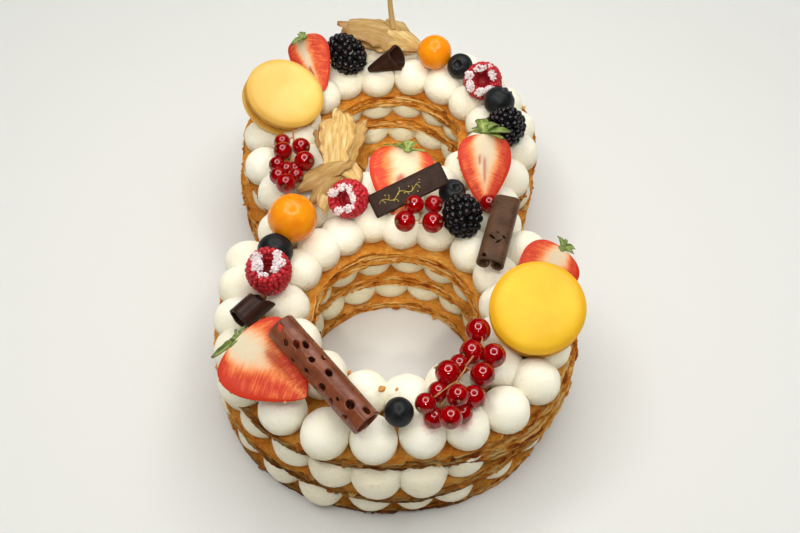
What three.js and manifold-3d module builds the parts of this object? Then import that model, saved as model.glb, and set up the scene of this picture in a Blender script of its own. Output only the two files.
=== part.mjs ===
// Number cake in the shape of an 8: three sheets of puff pastry with piped balls of cream
// between and on top of them, dressed with fruit, two macarons and chocolate pieces.
// Millimetres, +Z up, +Y towards the top of the 8. The origin is on the underside, in the
// middle of the bridge between the two holes.
import * as THREE from 'three';
import { mergeVertices } from 'three/addons/utils/BufferGeometryUtils.js';
import { ConvexGeometry } from 'three/addons/geometries/ConvexGeometry.js';
import Module from 'manifold-3d';

const wasm = await Module();
wasm.setup();

// Plan of the 8: the middle, half depth and half width of each loop, and its hole
const LOWER = { x: 0.5, y: -56.5, reach: 75, wide: 77, hole: { x: 1, y: -57.5, radius: 38.5 } };
const UPPER = { x: -1.1, y: 55, reach: 74, wide: 74.4, hole: { x: -1, y: 55.5, radius: 36.5 } };
const WAIST_BLEND = 22;

// Heights
const PASTRY_THICK = 4.85;
const PASTRY_SPLIT = 1.2;
const PASTRY_RAGGED = 0.9;
const PASTRY_RIM_POINTS = { outer: 60, lower: 23, upper: 21 };
const LAYER_PITCH = 17.7;
const CREAM_TOP = 15.5;
const DECK = 2 * LAYER_PITCH + PASTRY_THICK;

// The sheets of pastry: height of the underside, how far each reaches past the plan, and
// how far it was laid off centre
const PASTRIES = {
  pastry_bottom: { seed: 1, z: 0, grow: 0.2, shift: [-1.2, -1] },
  pastry_middle: { seed: 3, z: LAYER_PITCH, grow: 1.2, shift: [-1, -1.5] },
  pastry_top: { seed: 5, z: 2 * LAYER_PITCH, grow: 0, shift: [0.5, 1] },
};

// The cream between them: height, the angle at which its rows start, and reach past the plan
const SQUASHED_CREAMS = {
  cream_bottom: { seed: 2, z: PASTRY_THICK, start: -84, grow: 0 },
  cream_middle: { seed: 4, z: LAYER_PITCH + PASTRY_THICK, start: -95, grow: 0.5 },
};

// Piped balls
const BALL_PITCH = 17.8;
const BALL_ALONG = 9.9;
const BALL_ACROSS = 10.2;
const BALL_INSET = 9.6;
const POINTS_PER_BALL = 3;
const SQUASHED_MORE = 0.6;
const SQUASHED_WAIST = [0.72, 1, 0.76];

// Angle at which each row of top balls starts, how much further in the outer row stands on
// the upper loop, and the balls that fill the bridge: x, y and size
const TOP_START = { outer: -93, lower: 22.5, upper: 8 };
const UPPER_ROW_IN = 4.2;
const BRIDGE_BALLS = [[-38, 1, 10.4], [38, 1, 10.4], [-23, 1, 9.4], [23, 1, 9.4]];

// Clear space between a topping and the cream that it is pressed into
const SEAT_GAP = 0.35;

const TURN = 2 * Math.PI;

// Colours as they look in the photo, with their gloss
const PAINT = {
  pastry: { color: 0xb9772f, roughness: 0.75 },
  cream: { color: 0xf3ecd6, roughness: 0.5 },
  strawberry: { color: 0xd8402a, roughness: 0.35 },
  leaf: { color: 0x86963f, roughness: 0.6 },
  bramble: { color: 0x17151b, roughness: 0.25 },
  raspberry: { color: 0xb01e30, roughness: 0.5 },
  blueberry: { color: 0x2b313b, roughness: 0.5 },
  physalis: { color: 0xf29a1c, roughness: 0.3 },
  currant: { color: 0x8c1020, roughness: 0.15 },
  macaron_front: { color: 0xf2c928, roughness: 0.6 },
  macaron_back: { color: 0xf0cf66, roughness: 0.6 },
  macaron_filling: { color: 0xc98a2a, roughness: 0.6 },
  chocolate_dark: { color: 0x36241f, roughness: 0.35 },
  chocolate_milk: { color: 0x6b3a28, roughness: 0.35 },
  husk: { color: 0xd0ae6a, roughness: 0.8 },
};

// Toppings: sizes in millimetres, places in the cake's frame, and angles in degrees: turn
// about the topping's own Z, then lean towards the front of the cake and side to its right
const MACARON = { tall: 17, filling: 2.4, foot: 1.8 };
const CROWN_LEAN = -0.9;

const MACARONS = {
  macaron_back: { at: [-53.8, 59.6, 65], turn: 0, lean: 24, side: 22, width: 38.6 },
  macaron_front: { at: [59.7, -75, 66], turn: 0, lean: 21, side: 0, width: 39.2 },
};

const STRAWBERRIES = {
  strawberry_front: {
    at: [-47, -103.4, 65.6], turn: 50, lean: 20, size: [37, 36, 13],
    crown: { reach: 13, seed: 3, leaves: 5, at: [0, 17.5, -1] },
  },
  strawberry_right: {
    at: [42.3, 8.5, 65], turn: 0, lean: 34, size: [34, 25, 10],
    crown: { reach: 11, seed: 10, leaves: 6, at: [0, 17.8, -1] },
  },
  strawberry_centre: {
    at: [3.5, 3, 63], turn: -6, lean: 30, size: [34, 30, 10],
    crown: { reach: 12, seed: 21, leaves: 5, at: [2, 14.5, 2.2] },
  },
  strawberry_back: {
    at: [-41, 87, 65], turn: 22, lean: 40, size: [30, 21, 9],
    crown: { reach: 8, seed: 32, leaves: 4, at: [-5.5, 12, 3.4] },
  },
  strawberry_side: {
    at: [63.2, -54, 62], turn: -40, lean: 30, size: [32, 26, 9],
    crown: { reach: 8, seed: 44, leaves: 4, at: [-1, 15.5, -0.5] },
  },
};

const BRAMBLES = {
  bramble_back: { at: [-24.3, 97.4, 62.5], turn: 35, lean: 20, size: [20.5, 23] },
  bramble_right: { at: [54, 41.4, 62], turn: -40, lean: 10, size: [19, 21.5] },
  bramble_centre: { at: [31.5, -16.5, 62.5], turn: 10, lean: 35, size: [19.5, 22.5] },
};

const RASPBERRIES = {
  raspberry_back: { at: [44.8, 76.6, 61], lean: 42, side: -18, size: [18.5, 15] },
  raspberry_centre: { at: [-18.8, -4.4, 60.4], lean: 42, side: -35, size: [17.5, 17] },
  raspberry_left: { at: [-51.8, -52.2, 63], lean: 14, size: [19, 18] },
};

const BLUEBERRIES = {
  blueberry_back: { at: [33.9, 90.6, 60], lean: 40, side: -20, size: [12.3, 11.6] },
  blueberry_right: { at: [52.3, 60.4, 61.5], lean: -20, side: 30, size: [15.3, 14.2] },
  blueberry_left: { at: [-51, -36.3, 59.4], lean: 55, size: [15.4, 12.6] },
  blueberry_centre: { at: [26.6, 4.5, 58.5], lean: 20, side: 20, size: [12.5, 12] },
  blueberry_front: { at: [3.1, -120.7, 60], lean: -30, size: [11.6, 12] },
};

const PHYSALIS = {
  physalis_back: { at: [21.3, 97.8, 62.8], width: 17.6 },
  physalis_left: { at: [-44.2, -20.4, 66], width: 23 },
};

// Each currant: where its middle is, and its radius
const CURRANTS = {
  currants_left: {
    stalk: [[-47, 38, 63], [-48, 6, 61]],
    berries: [
      [-52.5, 35.4, 60, 4.1], [-43.8, 30.4, 61, 4.5], [-51.4, 24.5, 63, 4.2], [-41.4, 20, 62, 4.4],
      [-54.6, 16.5, 60, 4], [-47, 15.5, 62, 4], [-53.3, 8.2, 61.5, 3.9], [-44.5, 10, 60, 3.6],
      [-48.6, 3, 62, 4.3],
    ],
  },
  currants_centre: {
    stalk: [[13.5, -9.5, 63], [12, -20, 59]],
    berries: [
      [9.2, -11.8, 64.4, 4.4], [17.4, -11.3, 61.8, 4.5], [5.7, -18.8, 60.5, 4.7], [15.6, -20.8, 60.5, 4.7],
    ],
  },
  currants_front: {
    stalk: [[39, -84, 64], [18, -121, 60.5]],
    berries: [
      [35.3, -82.3, 62, 4.9], [31.9, -91.4, 61, 4.5], [41, -94.7, 61, 4.8], [36.1, -103.7, 62, 4.5],
      [22.4, -102, 62, 4.6], [28.4, -99, 59.5, 4.2], [18.1, -109.8, 60, 3.9], [25.3, -112.5, 64, 4.1],
      [32.1, -112.5, 60, 4.3], [13.7, -117.2, 60, 3.9], [22.6, -121, 62, 4.2], [17.1, -124.5, 58, 3.8],
      [28, -119.8, 58, 3.6],
    ],
  },
  currant_single: { stalk: [], berries: [[41.5, -8.2, 57.6, 4.4]] },
};

const HUSKS = {
  husk_back: {
    lobes: [{ from: [-28, 114.5, 64], to: [14.5, 106, 60], width: 15, tall: 8, open: 200, pleat: 0.08 }],
    stalk: { from: [-3, 113, 67], to: [-6, 125, 80], radius: 1.6 },
  },
  husk_left: {
    lobes: [
      { from: [-22.5, 13, 60], to: [-20, 53, 60], width: 19.5, tall: 7, open: 160, pleat: 0.1 },
      { from: [-21, 18, 60.5], to: [-40, -2, 59], width: 13, tall: 7, open: 170, pleat: 0.1 },
      { from: [-25.5, 14, 60], to: [-34, -8, 57.5], width: 8.5, tall: 5, open: 150, pleat: 0.08 },
    ],
  },
};

// Rolls, tubes and curls of thin chocolate, and a bar
const CHOCOLATES = {
  chocolate_roll: {
    shape: 'roll', size: [10.8, 52, 1.3, 1.3], paint: 'chocolate_milk',
    at: [-27.6, -107.7, 68.6], turn: 43.5, lean: 14, side: 7,
  },
  chocolate_tube: {
    shape: 'doubleRoll', size: [12.7, 40, 1.2], paint: 'chocolate_dark',
    at: [47, -27, 61.5], turn: -14.5,
  },
  chocolate_curl_left: {
    shape: 'roll', size: [12.5, 17, 1.2, 1.3], paint: 'chocolate_dark',
    at: [-57.8, -70.2, 61.5], turn: -42, lean: 8,
  },
  chocolate_curl_back: {
    shape: 'cone', size: [14.5, 22, 1.2], paint: 'chocolate_dark',
    at: [-5, 92.5, 61], turn: -125, lean: -40,
  },
  chocolate_plaque: {
    shape: 'bar', size: [36.5, 9.5, 3], paint: 'chocolate_dark',
    at: [7.1, -3.3, 65.3], turn: 26.6, lean: 46,
  },
};

// A number from 0 to 1 that is always the same for one seed
function chance(seed) {
  const wave = Math.sin(seed * 12.9898 + 4.1414) * 43758.5453;
  return wave - Math.floor(wave);
}

function jitter(seed, size) {
  return (chance(seed) * 2 - 1) * size;
}

function angles(turnDegrees, leanDegrees, sideDegrees) {
  const rad = THREE.MathUtils.degToRad;
  return new THREE.Euler(rad(leanDegrees), rad(sideDegrees), rad(turnDegrees), 'YXZ');
}

// Keeps only the positions, with shared corners merged and collapsed triangles dropped
function closeUp(geometry) {
  const bare = new THREE.BufferGeometry();
  bare.setAttribute('position', geometry.getAttribute('position').clone());
  if (geometry.index) bare.setIndex(geometry.index.clone());
  const merged = mergeVertices(bare, 1e-4);
  const kept = [];
  const index = merged.index.array;
  for (let i = 0; i < index.length; i += 3) {
    const [a, b, c] = [index[i], index[i + 1], index[i + 2]];
    if (a !== b && b !== c && c !== a) kept.push(a, b, c);
  }
  merged.setIndex(kept);
  return merged;
}

function toSolid(geometry) {
  const closed = closeUp(geometry);
  return new wasm.Manifold(new wasm.Mesh({
    numProp: 3,
    vertProperties: new Float32Array(closed.getAttribute('position').array),
    triVerts: new Uint32Array(closed.index.array),
  }));
}

function toGeometry(solid) {
  const mesh = solid.getMesh();
  const geometry = new THREE.BufferGeometry();
  geometry.setAttribute('position', new THREE.BufferAttribute(new Float32Array(mesh.vertProperties), 3));
  geometry.setIndex(Array.from(mesh.triVerts));
  return geometry;
}

function joined(geometries) {
  let whole = toSolid(geometries[0]);
  for (const geometry of geometries.slice(1)) whole = whole.add(toSolid(geometry));
  return toGeometry(whole);
}

// How far a point lies outside one loop, whose width is a little more than its depth
function loopDistance(loop, x, y) {
  return Math.hypot((x - loop.x) * loop.reach / loop.wide, y - loop.y) - loop.reach;
}

// Outline of the 8: the two loops, blended at the waist
function outlineDistance(x, y) {
  const toLower = loopDistance(LOWER, x, y);
  const toUpper = loopDistance(UPPER, x, y);
  const near = Math.max(WAIST_BLEND - Math.abs(toLower - toUpper), 0) / WAIST_BLEND;
  return Math.min(toLower, toUpper) - near * near * WAIST_BLEND / 4;
}

function outlinePoint(angle) {
  let inside = 0;
  let outside = 200;
  for (let step = 0; step < 30; step++) {
    const middle = (inside + outside) / 2;
    if (outlineDistance(middle * Math.cos(angle), middle * Math.sin(angle)) < 0) inside = middle;
    else outside = middle;
  }
  return new THREE.Vector3(inside * Math.cos(angle), inside * Math.sin(angle), 0);
}

// The way out of a shape from a curve that runs round it counterclockwise
function wayOut(along) {
  return new THREE.Vector3(along.y, -along.x, 0).normalize();
}

// The outline moved out by grow, as a closed curve that starts at an angle from the origin
function outlineCurve(grow, startDegrees) {
  const samples = 360;
  const edge = [];
  for (let i = 0; i < samples; i++) edge.push(outlinePoint(THREE.MathUtils.degToRad(startDegrees + i)));
  const drawn = new THREE.CatmullRomCurve3(edge, true);
  const moved = [];
  for (let i = 0; i < samples; i++) {
    moved.push(drawn.getPoint(i / samples).addScaledVector(wayOut(drawn.getTangent(i / samples)), grow));
  }
  const curve = new THREE.CatmullRomCurve3(moved, true);
  curve.arcLengthDivisions = 4 * samples;
  return curve;
}

// Evenly spaced points along the outline, moved out by grow, each with its way out
function outlineRim(grow, count, startDegrees) {
  const curve = outlineCurve(grow, startDegrees);
  const rim = [];
  for (let i = 0; i < count; i++) {
    rim.push({ point: curve.getPointAt(i / count), out: wayOut(curve.getTangentAt(i / count)) });
  }
  return rim;
}

// Points round a hole; the way out of the layer is towards the middle of the hole
function holeRim(hole, grow, count, startDegrees) {
  const rim = [];
  for (let i = 0; i < count; i++) {
    const angle = THREE.MathUtils.degToRad(startDegrees) - i / count * TURN;
    const out = new THREE.Vector3(-Math.cos(angle), -Math.sin(angle), 0);
    const reach = hole.radius + grow;
    const point = new THREE.Vector3(hole.x + reach * Math.cos(angle), hole.y + reach * Math.sin(angle), 0);
    rim.push({ point, out });
  }
  return rim;
}

// A flat layer between a rim round the 8 and one round each hole. stand(rim, i, level) is
// how far the layer's side stands out at point i of that rim, at each of the heights.
function layerGeometry(rims, heights, stand) {
  const positions = [];
  const indices = [];
  const firsts = [];
  const flats = [];
  heights.forEach((z, level) => {
    rims.forEach((rim, r) => {
      const flat = [];
      rim.forEach(({ point, out }, i) => {
        const reach = stand(r, i, level);
        flat.push(new THREE.Vector2(point.x + out.x * reach, point.y + out.y * reach));
      });
      firsts.push(positions.length / 3);
      flats.push(flat);
      for (const corner of flat) positions.push(corner.x, corner.y, z);
    });
  });
  const count = rims.length;
  for (let level = 0; level + 1 < heights.length; level++) {
    rims.forEach((rim, r) => {
      const low = firsts[level * count + r];
      const high = firsts[(level + 1) * count + r];
      for (let i = 0; i < rim.length; i++) {
        const next = (i + 1) % rim.length;
        indices.push(low + i, low + next, high + next, low + i, high + next, high + i);
      }
    });
  }
  for (const level of [0, heights.length - 1]) {
    const [outer, ...holes] = flats.slice(level * count, level * count + count);
    const corners = [outer, ...holes].flat();
    const faces = THREE.ShapeUtils.triangulateShape(outer, holes);
    for (const [a, b, c] of faces) {
      const area = new THREE.Vector2().subVectors(corners[b], corners[a])
        .cross(new THREE.Vector2().subVectors(corners[c], corners[a]));
      const facesUp = area > 0;
      const first = firsts[level * count];
      const order = facesUp === (level > 0) ? [a, b, c] : [a, c, b];
      indices.push(...order.map((corner) => first + corner));
    }
  }
  const geometry = new THREE.BufferGeometry();
  geometry.setAttribute('position', new THREE.Float32BufferAttribute(positions, 3));
  geometry.setIndex(indices);
  return geometry;
}

// A sheet of puff pastry, its sides ragged, with a split between two laminae
function pastryGeometry(seed, z, grow, shiftX, shiftY) {
  const rims = [
    outlineRim(grow, PASTRY_RIM_POINTS.outer, -90),
    holeRim(LOWER.hole, 0, PASTRY_RIM_POINTS.lower, 90),
    holeRim(UPPER.hole, 0, PASTRY_RIM_POINTS.upper, 90),
  ];
  const heights = [z, z + PASTRY_THICK * 0.5, z + PASTRY_THICK];
  const split = [0, -PASTRY_SPLIT, 0];
  const stand = (r, i, level) => split[level] + jitter(seed + r * 97 + i * 3.1 + level * 31, PASTRY_RAGGED);
  return layerGeometry(rims, heights, stand).translate(shiftX, shiftY, 0);
}

// How many balls stand in each row of a layer of cream: round the outside and round each hole
function ballsInRows() {
  const around = (hole) => Math.round(TURN * (hole.radius + BALL_INSET) / BALL_PITCH);
  return {
    outer: Math.round(outlineCurve(-BALL_INSET, 0).getLength() / BALL_PITCH),
    lower: around(LOWER.hole),
    upper: around(UPPER.hole),
  };
}

// Balls of cream squashed between two sheets: one solid with a scalloped side
function squashedCreamGeometry(seed, z, startDegrees, grow) {
  const rows = ballsInRows();
  const rims = [
    outlineRim(-BALL_INSET + grow, rows.outer * POINTS_PER_BALL, startDegrees),
    holeRim(LOWER.hole, BALL_INSET, rows.lower * POINTS_PER_BALL, startDegrees),
    holeRim(UPPER.hole, BALL_INSET, rows.upper * POINTS_PER_BALL, startDegrees),
  ];
  const height = LAYER_PITCH - PASTRY_THICK;
  const heights = [z, z + height / 2, z + height];
  const stand = (r, i, level) => {
    const ball = Math.floor(i / POINTS_PER_BALL);
    const along = (i % POINTS_PER_BALL / POINTS_PER_BALL - 0.5) * BALL_PITCH;
    const size = BALL_ALONG + SQUASHED_MORE + jitter(seed + r * 51 + ball, 0.9);
    return Math.sqrt(size * size - along * along) * SQUASHED_WAIST[level];
  };
  return layerGeometry(rims, heights, stand);
}

// One piped ball on the top sheet
function ballGeometry(across, along, tall, turn) {
  const profile = [[0, 0], [1.05, 0.3], [0.8, 0.8], [0, 1]];
  const points = profile.map(([radius, height]) => new THREE.Vector2(radius, height));
  const ball = new THREE.LatheGeometry(points, 6, turn);
  return ball.rotateX(Math.PI / 2).scale(across, along, tall);
}

// The balls on the top sheet: where each stands, which way is across its row, and its size
function topBalls() {
  const rows = ballsInRows();
  const balls = [];
  const addRow = (rim, seed) => rim.forEach(({ point, out }, i) => balls.push({
    x: point.x + out.x * jitter(seed + i, 0.5),
    y: point.y + out.y * jitter(seed + i, 0.5),
    facing: Math.atan2(out.y, out.x),
    across: BALL_ACROSS + jitter(seed + i * 1.7, 0.4),
    along: BALL_ALONG + jitter(seed + i * 2.3, 0.4),
    tall: CREAM_TOP + jitter(seed + i * 3.9, 0.5),
  }));
  const outer = outlineRim(-BALL_INSET, rows.outer, TOP_START.outer);
  for (const { point, out } of outer) {
    point.addScaledVector(out, -UPPER_ROW_IN * THREE.MathUtils.smoothstep(point.y, -20, 15));
  }
  addRow(outer, 11);
  addRow(holeRim(LOWER.hole, BALL_INSET - 1, rows.lower, TOP_START.lower), 211);
  addRow(holeRim(UPPER.hole, BALL_INSET - 1, rows.upper, TOP_START.upper), 411);
  for (const [x, y, size] of BRIDGE_BALLS) {
    balls.push({ x, y, facing: 0, across: size, along: size, tall: CREAM_TOP - 1 });
  }
  return balls;
}

function topCreamGeometry(seats) {
  const balls = topBalls().map(({ x, y, facing, across, along, tall }, i) =>
    toSolid(ballGeometry(across, along, tall, chance(i) * TURN).rotateZ(facing).translate(x, y, DECK)));
  let cream = balls[0];
  for (const ball of balls.slice(1)) cream = cream.add(ball);
  for (const seat of seats) cream = cream.subtract(seat);
  return toGeometry(cream);
}

// The hollow that a topping presses into the cream: its own hull, a little larger
function seatSolid(mesh) {
  mesh.updateWorldMatrix(true, false);
  const position = closeUp(mesh.geometry).getAttribute('position');
  const corners = [];
  const middle = new THREE.Vector3();
  for (let i = 0; i < position.count; i++) {
    corners.push(new THREE.Vector3().fromBufferAttribute(position, i).applyMatrix4(mesh.matrixWorld));
    middle.addScaledVector(corners[i], 1 / position.count);
  }
  for (const corner of corners) {
    const away = new THREE.Vector3().subVectors(corner, middle);
    corner.addScaledVector(away.normalize(), SEAT_GAP * 1.6);
  }
  return toSolid(new ConvexGeometry(corners));
}

// Half a strawberry: cut face up at z = 0, shoulders towards +Y, tip towards -Y
function strawberryGeometry(length, width, depth) {
  const stations = [0, 0.04, 0.15, 0.32, 0.52, 0.72, 0.88, 1];
  const around = 5;
  const ring = (share, i) => {
    const fullness = Math.sin(Math.PI * Math.pow(share, 0.55)) ** 0.7;
    const angle = -Math.PI * i / (around - 1);
    return [
      width / 2 * fullness * Math.cos(angle),
      length * (0.5 - share),
      depth * fullness * Math.sin(angle),
    ];
  };
  const positions = [0, length / 2, -depth * 0.25];
  for (const share of stations.slice(1, -1)) {
    for (let i = 0; i < around; i++) positions.push(...ring(share, i));
  }
  positions.push(0, -length / 2, -depth * 0.08);
  const last = positions.length / 3 - 1;
  const indices = [];
  for (let s = 0; s + 3 < stations.length; s++) {
    for (let i = 0; i < around; i++) {
      const next = (i + 1) % around;
      const [a, b] = [1 + s * around + i, 1 + s * around + next];
      indices.push(a, a + around, b + around, a, b + around, b);
    }
  }
  for (let i = 0; i < around; i++) {
    const next = (i + 1) % around;
    indices.push(0, 1 + i, 1 + next);
    indices.push(last, last - around + next, last - around + i);
  }
  const geometry = new THREE.BufferGeometry();
  geometry.setAttribute('position', new THREE.Float32BufferAttribute(positions, 3));
  geometry.setIndex(indices);
  return geometry;
}

// The green crown of a strawberry: a thin star of narrow leaves that droop at their tips
function crownGeometry({ reach, leaves, seed }) {
  const outline = [];
  for (let i = 0; i < leaves; i++) {
    const middle = (i + 0.5) / leaves * TURN + jitter(seed + i, 0.25);
    const long = reach * (0.8 + 0.2 * chance(seed + i * 2));
    const half = Math.PI / leaves;
    outline.push([0.22 * reach, middle - half], [0.55 * long, middle - half * 0.5]);
    outline.push([long, middle], [0.55 * long, middle + half * 0.5]);
  }
  const corners = outline.map(([r, a]) => new THREE.Vector2(r * Math.cos(a), r * Math.sin(a)));
  const star = new THREE.Shape(corners);
  const crown = new THREE.ExtrudeGeometry(star, { depth: 0.8, bevelEnabled: false });
  const position = crown.getAttribute('position');
  for (let i = 0; i < position.count; i++) {
    const out = Math.hypot(position.getX(i), position.getY(i)) / reach;
    const wave = 0.9 * Math.sin(position.getX(i) * 0.9 + seed);
    position.setZ(i, position.getZ(i) + wave * out + 1.2 * Math.sin(out * 3));
  }
  return crown;
}

// A berry of many small beads: a ball whose corners stand out and in by turns
function beadedGeometry(width, length, rows, perRow, bead) {
  const berry = closeUp(new THREE.SphereGeometry(1, perRow, rows));
  const position = berry.getAttribute('position');
  for (let i = 0; i < position.count; i++) {
    const corner = new THREE.Vector3().fromBufferAttribute(position, i);
    const row = Math.round(Math.acos(THREE.MathUtils.clamp(corner.y, -1, 1)) / Math.PI * rows);
    const place = Math.round(Math.atan2(corner.z, corner.x) / TURN * perRow);
    const stands = (row + place) % 2 === 0 ? 1 : 1 - bead;
    corner.multiplyScalar(stands);
    position.setXYZ(i, corner.x * width / 2, corner.y * length / 2, corner.z * width / 2);
  }
  return berry;
}

// A hulled raspberry: a cup whose mouth faces +Z
function raspberryGeometry(width, length) {
  const outside = [[0, -0.5], [0.26, -0.42], [0.42, -0.15], [0.5, 0.2], [0.42, 0.5]];
  const hollow = [[0.25, 0.46], [0.15, 0.05], [0, 0]];
  const profile = [...outside, ...hollow];
  const points = profile.map(([radius, height]) => new THREE.Vector2(radius * width, height * length));
  return new THREE.LatheGeometry(points, 10).rotateX(Math.PI / 2);
}

// A blueberry with the small crown at its end towards +Z
function blueberryGeometry(width, tall) {
  const profile = [[0, -0.5], [0.36, -0.36], [0.5, 0], [0.38, 0.35], [0.19, 0.48], [0.12, 0.4], [0, 0.38]];
  const points = profile.map(([radius, height]) => new THREE.Vector2(radius * width, height * tall));
  return new THREE.LatheGeometry(points, 9).rotateX(Math.PI / 2);
}

// Macaron parts, each turned about Z: a domed shell with its ruffled foot, and the filling
function shellGeometry(width, foot, tall) {
  const half = width / 2;
  const points = [
    [0, 0], [half - 1.8, 0], [half - 0.6, foot * 0.5], [half - 1.1, foot],
    [half, foot + 0.8], [half * 0.9, tall * 0.74], [half * 0.55, tall * 0.95], [0, tall],
  ];
  const profile = points.map(([radius, height]) => new THREE.Vector2(radius, height));
  return new THREE.LatheGeometry(profile, 12).rotateX(Math.PI / 2);
}

function macaron(name, { at, turn, lean, side, width }) {
  const whole = new THREE.Group();
  whole.position.set(...at);
  whole.rotation.copy(angles(turn, lean, side));
  const filling = MACARON.filling / 2;
  const tall = MACARON.tall / 2 - filling - 0.3;
  const upper = piece(`${name}_shell_upper`, shellGeometry(width, MACARON.foot, tall), PAINT[name]);
  const lower = piece(`${name}_shell_lower`, shellGeometry(width, MACARON.foot, tall), PAINT[name]);
  const middle = new THREE.CylinderGeometry(width / 2 - 2.2, width / 2 - 2.2, MACARON.filling, 12);
  const cream = piece(`${name}_filling`, middle.rotateX(Math.PI / 2), PAINT.macaron_filling);
  upper.position.z = filling + 0.3;
  lower.position.z = -filling - 0.3;
  lower.rotation.x = Math.PI;
  whole.add(upper, lower, cream);
  return whole;
}

// A thin rod from one point to another
function rodGeometry(from, to, radius, sides) {
  const start = new THREE.Vector3(...from);
  const end = new THREE.Vector3(...to);
  const along = new THREE.Vector3().subVectors(end, start);
  const rod = new THREE.CylinderGeometry(radius, radius, along.length(), sides);
  const direction = along.clone().normalize();
  rod.applyQuaternion(new THREE.Quaternion().setFromUnitVectors(new THREE.Vector3(0, 1, 0), direction));
  return rod.translate(...start.add(end).multiplyScalar(0.5).toArray());
}

// A bunch of currants on its stalk: the berries and a short stem from each to the stalk
function currantsGeometry(berries, stalk) {
  const parts = [];
  if (stalk.length) {
    const line = new THREE.Line3(new THREE.Vector3(...stalk[0]), new THREE.Vector3(...stalk[1]));
    parts.push(rodGeometry(stalk[0], stalk[1], 0.9, 5));
    for (const [x, y, z, radius] of berries) {
      const middle = new THREE.Vector3(x, y, z);
      const near = line.closestPointToPoint(middle, true, new THREE.Vector3());
      if (near.distanceTo(middle) > radius) parts.push(rodGeometry([x, y, z], near.toArray(), 0.7, 3));
    }
  }
  for (const [x, y, z, radius] of berries) {
    parts.push(new THREE.OctahedronGeometry(radius, 1).translate(x, y, z));
  }
  return joined(parts);
}

// A ribbon of even thickness along a flat path, run out to a length along Y
function ribbonGeometry(path, wall, length) {
  const outer = [];
  const inner = [];
  path.forEach(([x, y], i) => {
    const [fromX, fromY] = path[Math.max(i - 1, 0)];
    const [toX, toY] = path[Math.min(i + 1, path.length - 1)];
    const run = Math.hypot(toX - fromX, toY - fromY);
    const [sideX, sideY] = [(toY - fromY) / run * wall / 2, -(toX - fromX) / run * wall / 2];
    outer.push(new THREE.Vector2(x + sideX, y + sideY));
    inner.unshift(new THREE.Vector2(x - sideX, y - sideY));
  });
  const shape = new THREE.Shape([...outer, ...inner]);
  const ribbon = new THREE.ExtrudeGeometry(shape, { depth: length, bevelEnabled: false });
  return ribbon.translate(0, 0, -length / 2).rotateX(Math.PI / 2);
}

// A chocolate roll: a sheet rolled up once and a bit
function rollGeometry(width, length, wall, turns) {
  const steps = Math.round(10 * turns);
  const path = [];
  for (let i = 0; i <= steps; i++) {
    const angle = i / steps * turns * TURN;
    const radius = width / 2 - wall / 2 - (wall + 0.7) * i / steps * turns;
    path.push([radius * Math.cos(angle), radius * Math.sin(angle)]);
  }
  return ribbonGeometry(path, wall, length);
}

// A chocolate sheet rolled in from both sides
function doubleRollGeometry(width, length, wall) {
  const half = width / 4 + 0.2;
  const side = [];
  for (let i = 0; i <= 8; i++) {
    const angle = Math.PI / 2 - i / 8 * 5.4;
    const radius = half - wall / 2 - 0.8 * i / 8;
    side.push([half - 0.4 + radius * Math.cos(angle), radius * Math.sin(angle)]);
  }
  const mirrored = side.map(([x, y]) => [-x, y]).reverse();
  return ribbonGeometry([...mirrored, ...side], wall, length);
}

// A chocolate cone, open at its wide end towards +Y
function coneGeometry(width, length, wall) {
  const half = width / 2;
  const outside = [[0, -length / 2], [1.4, -length / 2], [half, length / 2]];
  const hollow = [[half - wall, length / 2], [0, -length / 5]];
  const profile = [...outside, ...hollow];
  return new THREE.LatheGeometry(profile.map(([radius, height]) => new THREE.Vector2(radius, height)), 9);
}

// A chocolate bar with bevelled edges, face up
function barGeometry(length, width, thick) {
  const bevel = 0.6;
  const [x, y] = [length / 2 - bevel, width / 2 - bevel];
  const corners = [[-x, -y], [x, -y], [x, y], [-x, y]];
  const shape = new THREE.Shape(corners.map(([u, v]) => new THREE.Vector2(u, v)));
  const settings = { depth: thick - 2 * bevel, bevelSize: bevel, bevelThickness: bevel, bevelSegments: 1 };
  return new THREE.ExtrudeGeometry(shape, settings).translate(0, 0, bevel - thick / 2);
}

// A thin sheet with both faces alike; at(u, v) is a point of its middle, u and v from 0 to 1
function sheetGeometry(at, columns, rows, thick) {
  const positions = [];
  const point = (u, v) => new THREE.Vector3(...at(u, v));
  for (const face of [0.5, -0.5]) {
    for (let r = 0; r <= rows; r++) {
      for (let c = 0; c <= columns; c++) {
        const [u, v] = [c / columns, r / rows];
        const du = point(Math.min(u + 0.02, 1), v).sub(point(Math.max(u - 0.02, 0), v));
        const dv = point(u, Math.min(v + 0.02, 1)).sub(point(u, Math.max(v - 0.02, 0)));
        const normal = du.cross(dv).normalize();
        positions.push(...point(u, v).addScaledVector(normal, face * thick).toArray());
      }
    }
  }
  const indices = [];
  const across = columns + 1;
  const under = across * (rows + 1);
  const quad = (a, b, c, d) => indices.push(a, b, c, a, c, d);
  for (let r = 0; r < rows; r++) {
    for (let c = 0; c < columns; c++) {
      const a = r * across + c;
      quad(a, a + 1, a + across + 1, a + across);
      indices.push(under + a, under + a + across + 1, under + a + 1);
      indices.push(under + a, under + a + across, under + a + across + 1);
    }
  }
  for (let c = 0; c < columns; c++) {
    quad(c + 1, c, under + c, under + c + 1);
    const far = rows * across + c;
    quad(far, far + 1, under + far + 1, under + far);
  }
  for (let r = 0; r < rows; r++) {
    const a = r * across;
    quad(a, a + across, under + a + across, under + a);
    const b = a + columns;
    quad(b + across, b, under + b, under + b + across);
  }
  const geometry = new THREE.BufferGeometry();
  geometry.setAttribute('position', new THREE.Float32BufferAttribute(positions, 3));
  geometry.setIndex(indices);
  return geometry;
}

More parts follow.
